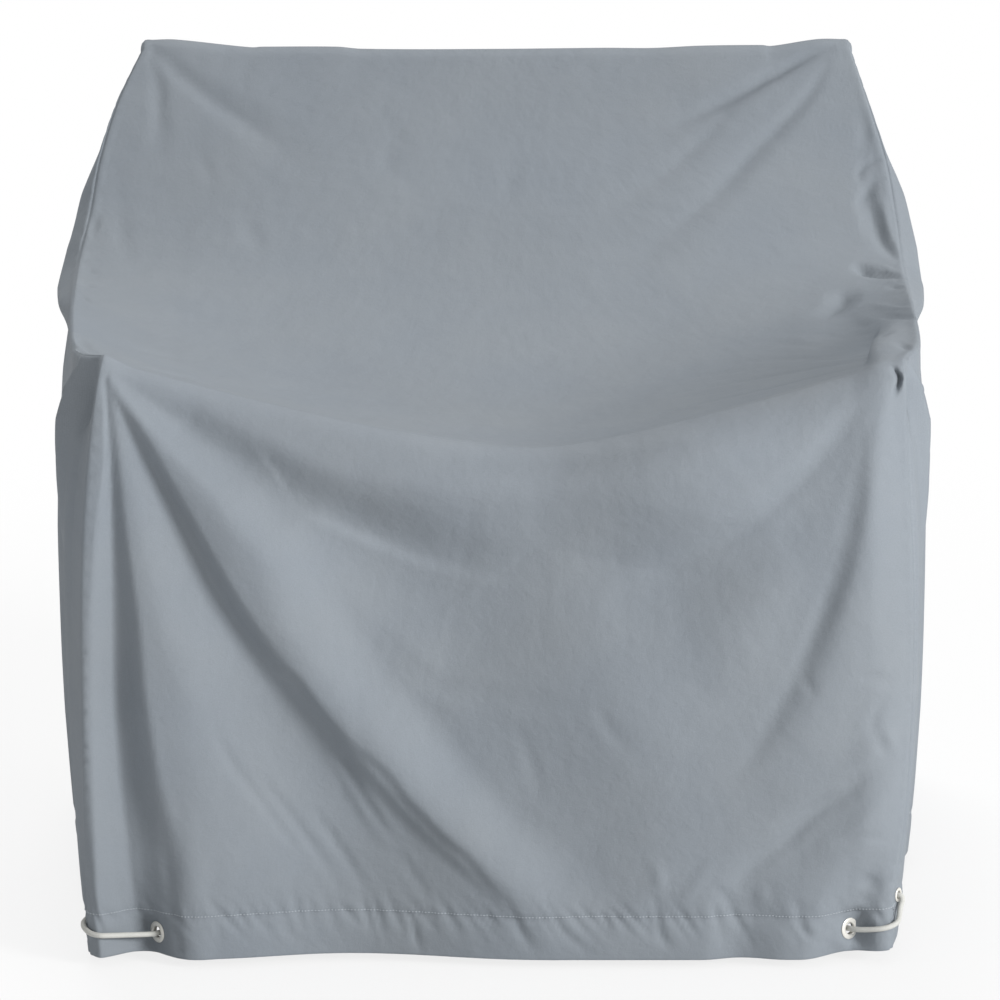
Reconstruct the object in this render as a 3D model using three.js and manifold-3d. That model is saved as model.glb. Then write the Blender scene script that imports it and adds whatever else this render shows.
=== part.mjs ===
import * as THREE from "three";
import { mergeVertices } from "three/addons/utils/BufferGeometryUtils.js";
import Module from "manifold-3d";

// Outdoor sofa cover, hollow and open below, as it hangs when fitted.
// Sizes are in millimetres. Heights are measured from the hem, the front faces -Y.

const CLOTH = 2;
const SEAM_GAP = 0.3;
const MITRE_LIMIT = 0.6;
const FRONT_Y = -425;
const ROLL_HEIGHT = 50;
const ROLL_DEPTH = 32;
const EDGE_LOW = 520;
const EDGE_RISE = 89;
const EDGE_MIDDLE = 34;
const EDGE_HALF = { left: 387, right: 404 };
const EDGE_POWER = { left: 1.25, right: 1.15 };
const EDGE_SOFTNESS = 40;
const SLOPE_LENGTH = 800;
const TOP_FRONT_Y = 318;
const TOP_REAR_Y = 346;
const TOP_HEIGHT = 813;
const TOP_CREST = 7;
const TOP_CREST_POWER = 0.8;
const SEAT_BOWL = { power: 2.6, start: 0.45 };
const REAR_HEM_Y = 405;
const HEM_DEPTH = 45;
const HEM_SHARE = 0.08;
const HEM_LIFT_SHARE = 0.25;
const ROLL_SHARE = 0.86;
const REAR_LEAN_POWER = 1.2;
const PEAK = { left: 383, right: 377, reach: 16, back: 0.035, height: 5 };
const UNDER_TOP = { back: 332, height: 818 };

const EYELET_SIZES = {
  wide: { flange: 11, barrel: 6.4, bore: 5.6, sides: 20 },
  small: { flange: 7.4, barrel: 4.8, bore: 4.1, sides: 16 },
};
const EYELET_GAP = 0.3;
const EYELET_LIP = 1.1;
const EYELET_WASHER = { inset: 1.5, thickness: 0.8 };
const EYELET_LAND = { margin: 1, cut: 0.5, depth: 8, sides: 24 };
const EYELET_FLAT = { margin: 2, ease: 12, depth: 14, depthEase: 10 };
const CORD_DIAMETER = 5.4;
const CORD_SIDES = 8;
const CORD_STEPS = 30;

// Eyelets in the hem: the middle of each on the cloth's face, and the way it faces.
const EYELETS = [
  {
    name: "front_left_eyelet",
    panel: "main",
    size: "wide",
    place: [-338.5, -398, 24.5],
    facing: [-0.75, -0.66, -0.04],
  },
  {
    name: "side_left_eyelet",
    panel: "left",
    size: "small",
    place: [-403.5, -377, 37],
    facing: [-0.93, -0.368, 0],
  },
  {
    name: "front_right_eyelet",
    panel: "main",
    size: "wide",
    place: [355.5, -399, 28.5],
    facing: [0.65, -0.76, 0.05],
  },
  {
    name: "side_right_eyelet",
    panel: "right",
    size: "small",
    place: [405, -383.5, 59],
    facing: [0.87, -0.493, 0],
  },
];

// Each cord from its end inside the front eyelet, round the corner and in through the side eyelet.
const CORDS = {
  left_corner_cord: [
    [-329.5, -390.1, 23.5],
    [-332.5, -392.7, 23.4],
    [-335.5, -395.4, 23.4],
    [-338.5, -398, 23.3],
    [-341, -400.1, 23.3],
    [-344.2, -402, 23.4],
    [-349, -404.3, 23.7],
    [-359, -409, 24.7],
    [-369.5, -414.1, 25.9],
    [-380, -419.6, 27.1],
    [-387, -423.3, 28],
    [-393.6, -425.9, 28.7],
    [-399.8, -423.8, 29.1],
    [-404.9, -420, 29.7],
    [-408.5, -414, 30.6],
    [-411.4, -407.6, 31.8],
    [-412.7, -402, 33.2],
    [-412.6, -397, 34.5],
    [-411, -392, 35.4],
    [-409.7, -388, 36],
    [-408.9, -384.6, 36.3],
    [-408.4, -381.8, 36.5],
    [-407.4, -379.7, 36.6],
    [-405.7, -378.1, 36.6],
    [-403.5, -377, 36.6],
    [-400.5, -375.8, 36.6],
    [-397, -374.4, 36.6],
    [-393.5, -373.1, 36.6],
  ],
  right_corner_cord: [
    [347.7, -389.9, 27.9],
    [350.3, -392.9, 28.1],
    [352.9, -396, 28.3],
    [355.5, -399, 28.4],
    [358.4, -401.9, 28.6],
    [362, -404.6, 28.9],
    [367, -407.2, 29.4],
    [374, -409.9, 30.3],
    [381, -412.3, 31.3],
    [387, -413.3, 32.2],
    [392.6, -412.4, 33.2],
    [397.8, -409.8, 34.4],
    [402, -406, 35.8],
    [404.3, -401.4, 37.6],
    [405.4, -396.4, 40],
    [406.3, -391.8, 43.5],
    [407.3, -388.1, 48],
    [408.6, -386.5, 51.5],
    [409.1, -385.9, 54],
    [408.9, -385.7, 56.2],
    [407.9, -385.1, 57.9],
    [406.6, -384.4, 58.6],
    [405, -383.5, 58.8],
    [402.4, -382, 58.8],
    [399, -380.1, 58.8],
    [395.5, -378.1, 58.8],
  ],
};

// Seam between the front and the side panels, from the hem to the front edge.
const FRONT_SEAM = [
  { height: 0, left: 407, right: 398 },
  { height: 60, left: 410, right: 400 },
  { height: 150, left: 412, right: 411 },
  { height: 300, left: 412, right: 417 },
  { height: 400, left: 410, right: 415 },
  { height: 500, left: 403, right: 409 },
  { height: 580, left: 393, right: 406 },
  { height: 610, left: 387, right: 404 },
];
const FRONT_SEAM_TOP = 610;

// How far that seam lies behind the front's face, and the share of the half width where the
// front begins to turn back to it.
const FRONT_SEAM_BACK = [
  { height: 0, left: 20, right: 20 },
  { height: 60, left: 18, right: 22 },
  { height: 150, left: 10, right: 24 },
  { height: 300, left: 5, right: 24 },
  { height: 400, left: 4, right: 24 },
  { height: 500, left: 3, right: 24 },
  { height: 580, left: 2, right: 24 },
  { height: 610, left: 1, right: 24 },
];
const CORNER_START = { left: 0.965, right: 0.89 };
const CORNER_POWER = 1.6;

// Seam from the front edge along the arm and up the back.
const ARM_SEAM = [
  { y: -393, height: 608, left: 387, right: 404 },
  { y: -377, height: 608, left: 406, right: 407 },
  { y: -300, height: 607, left: 422, right: 424 },
  { y: -110, height: 606, left: 438, right: 434 },
  { y: 50, height: 607, left: 447, right: 438 },
  { y: 150, height: 620, left: 449, right: 438 },
  { y: 205, height: 660, left: 440, right: 434 },
  { y: 248, height: 710, left: 432, right: 426 },
  { y: 285, height: 770, left: 414, right: 408 },
  { y: TOP_FRONT_Y, height: 820, left: 389, right: 391 },
];

// Middle line of the sagging seat and back, as the corners of one curve.
const MIDDLE_LINE = [
  { y: FRONT_Y + ROLL_DEPTH, height: EDGE_LOW },
  { y: -185, height: 470 },
  { y: 150, height: 515 },
  { y: TOP_FRONT_Y, height: TOP_HEIGHT },
];

const REAR_SEAM = [
  { height: 0, left: 432, right: 432 },
  { height: 150, left: 442, right: 442 },
  { height: 300, left: 447, right: 447 },
  { height: 450, left: 446, right: 446 },
  { height: 600, left: 438, right: 438 },
  { height: 720, left: 418, right: 418 },
  { height: 820, left: 389, right: 391 },
];
const REAR_SEAM_TOP = 820;
const REAR_CORNER = { start: 0.93, back: 20 };

// Plan of the side hem from front to rear.
const SIDE_HEM = [
  { y: -401, left: 407, right: 398 },
  { y: -340, left: 411, right: 408 },
  { y: -200, left: 421, right: 418 },
  { y: 0, left: 434, right: 430 },
  { y: 200, left: 440, right: 436 },
  { y: 405, left: 432, right: 432 },
];

// How far a side panel stands out beyond its seam, from front to rear.
const SIDE_BULGE = [
  { y: -400, left: 16, right: 13 },
  { y: -300, left: 10, right: 12 },
  { y: -110, left: 11, right: 8 },
  { y: 50, left: 17, right: 18 },
  { y: 150, left: 21, right: 23 },
  { y: 300, left: 22, right: 22 },
  { y: 405, left: 16, right: 16 },
];
const SIDE_BULGE_BY_HEIGHT = [
  { height: 0, share: 0 },
  { height: 60, share: 0.35 },
  { height: 130, share: 0.6 },
  { height: 250, share: 0.95 },
  { height: 420, share: 1.15 },
  { height: 500, share: 0.9 },
  { height: 560, share: 0.4 },
  { height: 600, share: 0.2 },
  { height: 690, share: 0.3 },
  { height: 740, share: 0.2 },
  { height: 820, share: 0 },
];
const SHOULDER = { front: 14, top: 9, rear: 24 };
const SEAM_REACH = 40;

// Height of the front hem over its lowest point, by share of the half width.
const FRONT_HEM = [
  { across: -1, lift: 5 },
  { across: -0.8, lift: 4 },
  { across: 0.78, lift: 3.5 },
  { across: 0.9, lift: 6 },
  { across: 1, lift: 9 },
];

// Height of the top edge over a level line, by share of the half width, and the share of the
// slope where it begins.
const TOP_LIFT = [
  { across: -1, lift: 2 },
  { across: -0.975, lift: 3.4 },
  { across: -0.905, lift: 5 },
  { across: -0.69, lift: -0.9 },
  { across: -0.66, lift: 0.1 },
  { across: -0.45, lift: 1.6 },
  { across: -0.38, lift: -0.4 },
  { across: 0, lift: 0 },
  { across: 0.3, lift: 0.9 },
  { across: 0.44, lift: 0.2 },
  { across: 0.58, lift: 1.9 },
  { across: 0.75, lift: 1 },
  { across: 0.775, lift: -0.4 },
  { across: 0.905, lift: 5.4 },
  { across: 0.975, lift: 4.2 },
  { across: 1, lift: 2 },
];
const TOP_LIFT_START = 0.93;

// Folds. A path runs along the crest or the bottom, left and right are the reach on either hand of
// it, and height is how far it stands out, all from the path's start to its end.
// On the front and the rear a path is across and height.
const FRONT_FOLDS = [
  {
    path: [
      [-382, 592], [-379, 560], [-375, 470], [-371, 368], [-370, 266], [-366, 165], [-361, 83],
      [-352, 0], [-350, -60],
    ],
    left: [4, 9, 14, 22, 28, 38, 56, 46, 46],
    right: [4, 8, 24, 34, 38, 40, 42, 50, 50],
    height: [-1, -5, -10, -17, -23, -25, -22, -29, -30],
  },
  {
    path: [
      [-372, 575], [-340, 510], [-305, 440], [-270, 368], [-222, 290], [-184, 210], [-156, 120],
      [-142, 0], [-140, -60],
    ],
    left: [10, 40, 70, 100, 130, 160, 180, 190, 190],
    right: [8, 30, 56, 80, 115, 140, 150, 160, 160],
    height: [0, -8, -18, -26, -30, -31, -28, -24, -23],
  },
  {
    path: [
      [-376, 592], [-337, 530], [-303, 470], [-247, 368], [-170, 266], [-127, 215], [-83, 165],
      [-25, 114], [30, 60], [75, 0],
    ],
    left: [8, 34, 74, 78, 75, 75, 70, 60, 50, 50],
    right: [6, 13, 16, 20, 34, 32, 28, 28, 28, 28],
    height: [2, 11, 16, 19, 19, 18, 15, 11, 5, 0],
  },
  {
    path: [[-190, 452], [-141, 368], [-106, 307], [-64, 266], [-27, 215], [17, 165], [79, 114], [140, 60]],
    left: [120, 150, 180, 190, 190, 180, 150, 120],
    right: [60, 80, 82, 80, 78, 76, 70, 60],
    height: [-4, -22, -27, -28, -25, -20, -12, 0],
  },
  {
    path: [
      [-368, 588], [-305, 545], [-250, 508], [-202, 470], [-129, 434], [-66, 409], [5, 396],
      [104, 394], [202, 409], [270, 440],
    ],
    left: [10, 34, 46, 56, 76, 100, 116, 118, 100, 70],
    right: [8, 26, 50, 74, 120, 150, 160, 160, 150, 120],
    height: [-1, -13, -15, -17, -21, -25, -22, -17, -8, 0],
  },
  {
    path: [[-202, 470], [-129, 434], [-66, 409], [5, 396], [60, 392]],
    left: [40, 50, 50, 50, 50],
    right: [12, 13, 15, 18, 20],
    height: [0, -4, -4, -2, 0],
  },
  {
    path: [[-165, 238], [-130, 172], [-92, 110]],
    left: [26, 30],
    right: [20, 26],
    height: [0, 6, 0],
  },
  {
    path: [[-310, 160], [-303, 90], [-298, 20], [-296, -50]],
    left: [24, 26, 26],
    right: [16, 18, 20],
    height: [0, 3, 3, 2],
  },
  {
    path: [[384, 592], [340, 530], [290, 475], [230, 428], [160, 385], [110, 350]],
    left: [10, 30, 60, 80, 80, 60],
    right: [10, 24, 36, 40, 40, 30],
    height: [0, -4, -7, -7, -5, 0],
  },
  {
    path: [[386, 592], [373, 510], [360, 419], [338, 317], [300, 230], [256, 160]],
    left: [10, 30, 44, 56, 60, 60],
    right: [8, 20, 30, 36, 44, 44],
    height: [0, 4, 8, 8, 6, 0],
  },
  {
    path: [[266, 440], [262, 400], [240, 340], [205, 280]],
    left: [40, 60, 60],
    right: [60, 80, 80],
    height: [0, 5, 5, 0],
  },
  {
    path: [[190, 600], [185, 540], [170, 470], [160, 400]],
    left: [170, 180, 170, 150],
    right: [120, 140, 140, 120],
    height: [10, 17, 12, 0],
  },
  {
    path: [[402, 215], [372, 190], [345, 168], [315, 145], [288, 118], [262, 96], [245, 40], [250, -40]],
    left: [20, 36, 50, 50, 50, 46],
    right: [16, 26, 30, 36, 40, 40],
    height: [0, -5, -7, -7, -6, -8, -9, -9],
  },
  {
    path: [[384, 120], [366, 64], [357, 0], [355, -60]],
    left: [22, 36, 42],
    right: [30, 50, 60],
    height: [0, -15, -25, -26],
  },
];

// On the slope a path is across and length up the cloth from the front edge.
const SLOPE_FOLDS = [
  {
    path: [[370, 797], [322, 783], [257, 749], [190, 717], [110, 680]],
    left: [6, 14, 22, 30, 34],
    right: [6, 14, 20, 26, 34],
    height: [-1, -4, -4.5, -3, 0],
  },
  {
    path: [[364, 781], [338, 744], [284, 687], [230, 625], [160, 556], [110, 510]],
    left: [8, 18, 24, 30, 36, 36],
    right: [8, 16, 22, 28, 36, 36],
    height: [-1, -3, -3.5, -3, -2, 0],
  },
  {
    path: [[268, 747], [214, 688], [135, 625], [80, 590]],
    left: [16, 22, 28, 30],
    right: [14, 20, 24, 30],
    height: [0, -2.5, -2, 0],
  },
  {
    path: [[-376, 798], [-331, 764], [-280, 729], [-229, 688], [-180, 645]],
    left: [8, 20, 30, 40, 44],
    right: [8, 18, 26, 36, 44],
    height: [-1, -4, -4, -2, 0],
  },
  {
    path: [[-378, 790], [-371, 750], [-368, 710], [-372, 670]],
    left: [10, 16, 20, 22],
    right: [8, 12, 16, 18],
    height: [-1, -2.5, -2, 0],
  },
  {
    path: [[416, 652], [404, 630], [405, 608], [411, 580], [422, 552], [434, 533]],
    left: [10, 14, 16, 16, 14, 12],
    right: [10, 12, 14, 16, 14, 12],
    height: [0, -6, -8, -9, -7, -2],
  },
  {
    path: [[388, 526], [399, 505], [411, 494], [424, 481], [436, 468]],
    left: [10, 12, 12, 10, 10],
    right: [12, 14, 14, 12, 10],
    height: [0, -8, -7, -4, -2],
  },
  {
    path: [[338, 398], [356, 412], [368, 432], [366, 466]],
    left: [22, 26, 26, 20],
    right: [22, 26, 26, 20],
    height: [0, -5, -6, 0],
  },
  {
    path: [[352, 430], [366, 380], [378, 290], [388, 130]],
    left: [24, 30, 28, 20],
    right: [40, 56, 60, 30],
    height: [0, -6, -7, 0],
  },
];

// On a side panel a path is back and height.
const SIDE_FOLDS = [
  {
    path: [[-380, 604], [-371, 575], [-366, 510], [-358, 420]],
    left: [12, 16, 20, 26],
    right: [9, 12, 14, 18],
    height: [6, 18, 11, 2],
  },
  {
    path: [[-394, 600], [-391, 570], [-389, 530]],
    left: [8, 8, 8],
    right: [7, 7, 7],
    height: [-4, -10, 0],
  },
  {
    path: [[-330, 560], [-250, 420], [-190, 240], [-170, 40], [-165, -40]],
    left: [60, 70, 80, 90],
    right: [60, 70, 80, 90],
    height: [0, -10, -15, -13, -9],
  },
  {
    path: [[-60, 560], [-40, 380], [-20, 200], [-10, -40]],
    left: [70, 80, 90],
    right: [70, 80, 90],
    height: [0, 9, 13, 12],
  },
  {
    path: [[150, 560], [130, 400], [140, 200], [150, -40]],
    left: [50, 60, 70],
    right: [60, 70, 80],
    height: [0, -11, -15, -11],
  },
  {
    path: [[250, 640], [290, 420], [300, 200], [300, -40]],
    left: [50, 60, 60],
    right: [50, 60, 60],
    height: [0, 7, 11, 9],
  },
  {
    path: [[-20, 590], [60, 587], [150, 596], [205, 634], [248, 676], [285, 730]],
    left: [14, 18, 22, 24, 24, 20],
    right: [20, 34, 36, 36, 36, 30],
    height: [0, 14, 18, 18, 12, 0],
  },
];

const REAR_FOLDS = [
  {
    path: [[-370, 800], [-310, 560], [-290, 300], [-285, -40]],
    left: [30, 60, 80],
    right: [30, 60, 80],
    height: [0, 9, 14, 13],
  },
  {
    path: [[-180, 700], [-150, 420], [-140, 180], [-140, -40]],
    left: [60, 80, 90],
    right: [60, 80, 90],
    height: [0, -9, -13, -11],
  },
  {
    path: [[40, 640], [20, 400], [15, 180], [20, -40]],
    left: [60, 70, 80],
    right: [60, 70, 80],
    height: [0, 6, 9, 8],
  },
  {
    path: [[365, 790], [250, 560], [190, 320], [175, -40]],
    left: [30, 60, 80],
    right: [30, 60, 80],
    height: [0, -9, -14, -12],
  },
  {
    path: [[380, 780], [350, 500], [335, 250], [330, -40]],
    left: [30, 50, 60],
    right: [30, 50, 60],
    height: [0, 6, 9, 8],
  },
];

// The folds fade out below the front edge and below the top edge of the rear.
const FOLDS_END = { front: 0.93, rear: 0.9 };
const FOLD_STEPS = 24;

// Where the cloth is divided, as shares of the half width, of a face's height and of the slope.
const ACROSS = [
  -1, -0.985, -0.965, -0.94, -0.91, -0.885, -0.86, -0.835, -0.81, -0.785, -0.75, -0.71, -0.665, -0.62,
  -0.57, -0.52, -0.465, -0.405, -0.34, -0.27, -0.19, -0.1, 0, 0.11, 0.22, 0.33, 0.43, 0.52,
  0.6, 0.675, 0.75, 0.81, 0.85, 0.88, 0.91, 0.94, 0.965, 0.985, 1,
];
const UP_FACE = [
  0, 0.03, 0.057, 0.08, 0.12, 0.18, 0.25, 0.32, 0.39, 0.46, 0.53, 0.6, 0.67, 0.74, 0.81, 0.86,
  0.91, 0.955, 1,
];
const ALONG_SLOPE = [
  0, 0.015, 0.04, 0.08, 0.13, 0.18, 0.24, 0.3, 0.36, 0.42, 0.48, 0.54, 0.59, 0.64, 0.69, 0.74, 0.79, 0.84,
  0.89, 0.95, 1,
];
const OVER_TOP = [0.25, 0.5, 0.75, 1];

const COLOURS = { cloth: 0x8f9aa5, metal: 0xb9b6ae, cord: 0xc9ccca };

const clamp = (value, low, high) => Math.min(high, Math.max(low, value));
const mix = (a, b, share) => a + (b - a) * share;
const smooth = (value) => {
  const x = clamp(value, 0, 1);
  return x * x * (3 - 2 * x);
};

// A smooth curve through rows, each value read at the place where the key column has the value at.
function readColumn(rows, key, column, at) {
  const keys = rows.map((row) => row[key]);
  const values = rows.map((row) => row[column]);
  const last = rows.length - 1;
  const x = clamp(at, keys[0], keys[last]);
  let i = 0;
  while (i < last - 1 && x > keys[i + 1]) i += 1;
  const slopeAt = (k) => {
    const before = Math.max(k - 1, 0);
    const after = Math.min(k + 1, last);
    return (values[after] - values[before]) / (keys[after] - keys[before]);
  };
  const step = keys[i + 1] - keys[i];
  const f = (x - keys[i]) / step;
  return (
    (2 * f ** 3 - 3 * f ** 2 + 1) * values[i] +
    (f ** 3 - 2 * f ** 2 + f) * step * slopeAt(i) +
    (-2 * f ** 3 + 3 * f ** 2) * values[i + 1] +
    (f ** 3 - f ** 2) * step * slopeAt(i + 1)
  );
}

const sideOf = (u) => (u < 0 ? "left" : "right");

// Each row of the arm seam with its share of the seam's length.
const armSeam = (() => {
  let length = 0;
  const rows = ARM_SEAM.map((row, i) => {
    if (i) length += Math.hypot(row.y - ARM_SEAM[i - 1].y, row.height - ARM_SEAM[i - 1].height);
    return { ...row, length };
  });
  return rows.map((row) => ({ ...row, share: row.length / length }));
})();

// The middle line in even steps of its length.
const middleLine = (() => {
  const steps = 200;
  const rows = [];
  let length = 0;
  for (let i = 0; i <= steps; i += 1) {
    const t = i / steps;
    const weights = [(1 - t) ** 3, 3 * t * (1 - t) ** 2, 3 * t * t * (1 - t), t ** 3];
    const sum = (column) =>
      weights.reduce((total, weight, k) => total + weight * MIDDLE_LINE[k][column], 0);
    const row = { y: sum("y"), height: sum("height") };
    if (i) length += Math.hypot(row.y - rows[i - 1].y, row.height - rows[i - 1].height);
    rows.push({ ...row, length });
  }
  return rows.map((row) => ({ ...row, share: row.length / length }));
})();

function onMiddleLine(share, column) {
  let i = 0;
  while (i < middleLine.length - 2 && share > middleLine[i + 1].share) i += 1;
  const a = middleLine[i];
  const b = middleLine[i + 1];
  return mix(a[column], b[column], (share - a.share) / (b.share - a.share));
}

// How high the front edge stands over its lowest point, from 0 in its dip to 1 at the sides.
function edgeShare(u) {
  const x = u * EDGE_HALF[sideOf(u)];
  const side = x < EDGE_MIDDLE ? "left" : "right";
  const reach = side === "left" ? EDGE_MIDDLE + EDGE_HALF.left : EDGE_HALF.right - EDGE_MIDDLE;
  const far = (distance) => Math.hypot(distance, EDGE_SOFTNESS) - EDGE_SOFTNESS;
  return (far(x - EDGE_MIDDLE) / far(reach)) ** EDGE_POWER[side];
}

// The front edge ends in a small peak over each front corner.
const peakOver = (u) => {
  const side = sideOf(u);
  const x = Math.abs(u) * EDGE_HALF[side];
  return PEAK.height * Math.exp(-(((x - PEAK[side]) / PEAK.reach) ** 2));
};
const edgeHeight = (u) => EDGE_LOW + EDGE_RISE * edgeShare(u) + peakOver(u);

// Height on an upright face: the hem has its own depth and the rest follows the face's height.
function rise(t, height) {
  if (t < HEM_SHARE) return (HEM_DEPTH * t) / HEM_SHARE;
  const straight = height - ROLL_HEIGHT;
  if (t < ROLL_SHARE) return mix(HEM_DEPTH, straight, (t - HEM_SHARE) / (ROLL_SHARE - HEM_SHARE));
  return straight + ROLL_HEIGHT * Math.sin(((t - ROLL_SHARE) / (1 - ROLL_SHARE)) * (Math.PI / 2));
}

// From 0 at the place start to 1 at the end of the half width.
const cornerShare = (u, start) => clamp((Math.abs(u) - start) / (1 - start), 0, 1) ** CORNER_POWER;

function onFront(u, t) {
  const side = sideOf(u);
  const top = edgeHeight(u);
  const z = rise(t, top) + readColumn(FRONT_HEM, "across", "lift", u) * smooth(1 - t / HEM_LIFT_SHARE);
  const turn = clamp((t - ROLL_SHARE) / (1 - ROLL_SHARE), 0, 1) * (Math.PI / 2);
  const level = (z / top) * FRONT_SEAM_TOP;
  const half = readColumn(FRONT_SEAM, "height", side, level);
  const seamBack = readColumn(FRONT_SEAM_BACK, "height", side, level) * (1 - turn / (Math.PI / 2));
  const y = FRONT_Y + ROLL_DEPTH * (1 - Math.cos(turn)) + cornerShare(u, CORNER_START[side]) * seamBack;
  return new THREE.Vector3(u * half, y, z);
}

function onSlope(u, s) {
  const half = readColumn(armSeam, "share", sideOf(u), s);
  const seamY = readColumn(armSeam, "share", "y", s);
  const seamHeight = readColumn(armSeam, "share", "height", s);
  const bowl = Math.abs(u) ** SEAT_BOWL.power;
  const g = mix(edgeShare(u), bowl, smooth(s / SEAT_BOWL.start));
  const y = mix(onMiddleLine(s, "y"), seamY, g);
  const z = mix(onMiddleLine(s, "height"), seamHeight, g);
  const peak = peakOver(u) * Math.exp(-s / PEAK.back);
  const nearTop = smooth((s - TOP_LIFT_START) / (1 - TOP_LIFT_START));
  return new THREE.Vector3(u * half, y, z + peak + readColumn(TOP_LIFT, "across", "lift", u) * nearTop);
}

function overTop(u, w) {
  const start = onSlope(u, 1);
  const y = mix(TOP_FRONT_Y, TOP_REAR_Y, w);
  return new THREE.Vector3(start.x, y, start.z + TOP_CREST * Math.sin(Math.PI * w) ** TOP_CREST_POWER);
}

function onRear(u, t) {
  const top = overTop(u, 1);
  const z = rise(t, top.z);
  const half = readColumn(REAR_SEAM, "height", sideOf(u), (z / top.z) * REAR_SEAM_TOP);
  const forward = cornerShare(u, REAR_CORNER.start) * REAR_CORNER.back * (1 - smooth(t));
  return new THREE.Vector3(u * half, mix(REAR_HEM_Y, TOP_REAR_Y, t ** REAR_LEAN_POWER) - forward, z);
}

// A smooth path through a fold's points, as short straight steps.
function foldSteps(path) {
  const rows = path.map(([a, b]) => ({ a, b, length: 0 }));
  for (let i = 1; i < rows.length; i += 1) {
    const step = Math.hypot(rows[i].a - rows[i - 1].a, rows[i].b - rows[i - 1].b);
    rows[i].length = rows[i - 1].length + step;
  }
  const whole = rows[rows.length - 1].length;
  return Array.from({ length: FOLD_STEPS + 1 }, (_, i) => {
    const at = (whole * i) / FOLD_STEPS;
    return [readColumn(rows, "length", "a", at), readColumn(rows, "length", "b", at)];
  });
}

function spread(values, t) {
  const place = clamp(t, 0, 1) * (values.length - 1);
  const i = Math.min(Math.floor(place), values.length - 2);
  return mix(values[i], values[i + 1], place - i);
}

// How far the folds raise the cloth at one place.
function relief(folds, a, b) {
  let total = 0;
  for (const fold of folds) {
    const steps = fold.steps;
    let best = Infinity;
    let hand = "left";
    let along = 0;
    for (let i = 0; i < steps.length - 1; i += 1) {
      const [a0, b0] = steps[i];
      const da = steps[i + 1][0] - a0;
      const db = steps[i + 1][1] - b0;
      const f = clamp(((a - a0) * da + (b - b0) * db) / (da * da + db * db), 0, 1);
      const ea = a - a0 - f * da;
      const eb = b - b0 - f * db;
      const distance = Math.hypot(ea, eb);
      if (distance < best) {
        best = distance;
        hand = da * eb - db * ea > 0 ? "left" : "right";
        along = (i + f) / (steps.length - 1);
      }
    }
    const reach = spread(fold[hand], along);
    if (best >= reach) continue;
    total += spread(fold.height, along) * (0.5 + 0.5 * Math.cos((Math.PI * best) / reach));
  }
  return total;
}
const withSteps = (folds) => folds.map((fold) => ({ ...fold, steps: foldSteps(fold.path) }));
const frontFolds = withSteps(FRONT_FOLDS);
const slopeFolds = withSteps(SLOPE_FOLDS);
const sideFolds = withSteps(SIDE_FOLDS);
const rearFolds = withSteps(REAR_FOLDS);

const eyelets = EYELETS.map((row) => ({
  ...row,
  ...EYELET_SIZES[row.size],
  place: new THREE.Vector3(...row.place),
  facing: new THREE.Vector3(...row.facing).normalize(),
}));

// The cloth lies flat around each eyelet and eases back into its folds.
function flatAtEyelets(p) {
  const q = p.clone();
  for (const { place, facing, flange } of eyelets) {
    const off = q.clone().sub(place);
    const out = off.dot(facing);
    const away = Math.sqrt(Math.max(off.lengthSq() - out * out, 0));
    const beside = 1 - smooth((away - flange - EYELET_FLAT.margin) / EYELET_FLAT.ease);
    const near = 1 - smooth((Math.abs(out) - EYELET_FLAT.depth) / EYELET_FLAT.depthEase);
    q.addScaledVector(facing, -out * beside * near);
  }
  return q;
}

// Outward direction at each point of a grid of rows.
function gridNormals(rows) {
  return rows.map((row, i) =>
    row.map((_, j) => {
      const up = rows[Math.min(i + 1, rows.length - 1)][j].clone().sub(rows[Math.max(i - 1, 0)][j]);
      const across = row[Math.min(j + 1, row.length - 1)].clone().sub(row[Math.max(j - 1, 0)]);
      return across.cross(up).normalize();
    }),
  );
}

// The strip from the front hem over the seat, the back and the top to the rear hem. Each row has
// its places, how far the folds raise them, and the way they are raised where it isn't the
// cloth's own.
function stripRows() {
  const ahead = new THREE.Vector3(0, -1, 0);
  const behind = new THREE.Vector3(0, 1, 0);
  const fromFront = UP_FACE.map((t) => {
    const share = 1 - smooth((t - FOLDS_END.front) / (1 - FOLDS_END.front));
    return { place: (u) => onFront(u, t), height: (p) => relief(frontFolds, p.x, p.z) * share, way: ahead };
  });
  const alongSlope = ALONG_SLOPE.slice(1).map((s) => ({
    place: (u) => onSlope(u, s),
    height: (p) => relief(slopeFolds, p.x, s * SLOPE_LENGTH),
  }));
  const acrossTop = OVER_TOP.map((w) => ({ place: (u) => overTop(u, w), height: () => 0 }));
  const toRear = UP_FACE.slice(0, -1).reverse().map((t) => {
    const share = smooth((1 - t) / (1 - FOLDS_END.rear));
    return { place: (u) => onRear(u, t), height: (p) => relief(rearFolds, p.x, p.z) * share, way: behind };
  });
  const rows = [...fromFront, ...alongSlope, ...acrossTop, ...toRear];
  const level = rows.map(({ place }) => ACROSS.map(place));
  const normals = gridNormals(level);
  return rows.map(({ height, way }, i) =>
    level[i].map((p, j) => flatAtEyelets(p.clone().addScaledVector(way ?? normals[i][j], height(p)))),
  );
}

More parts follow.
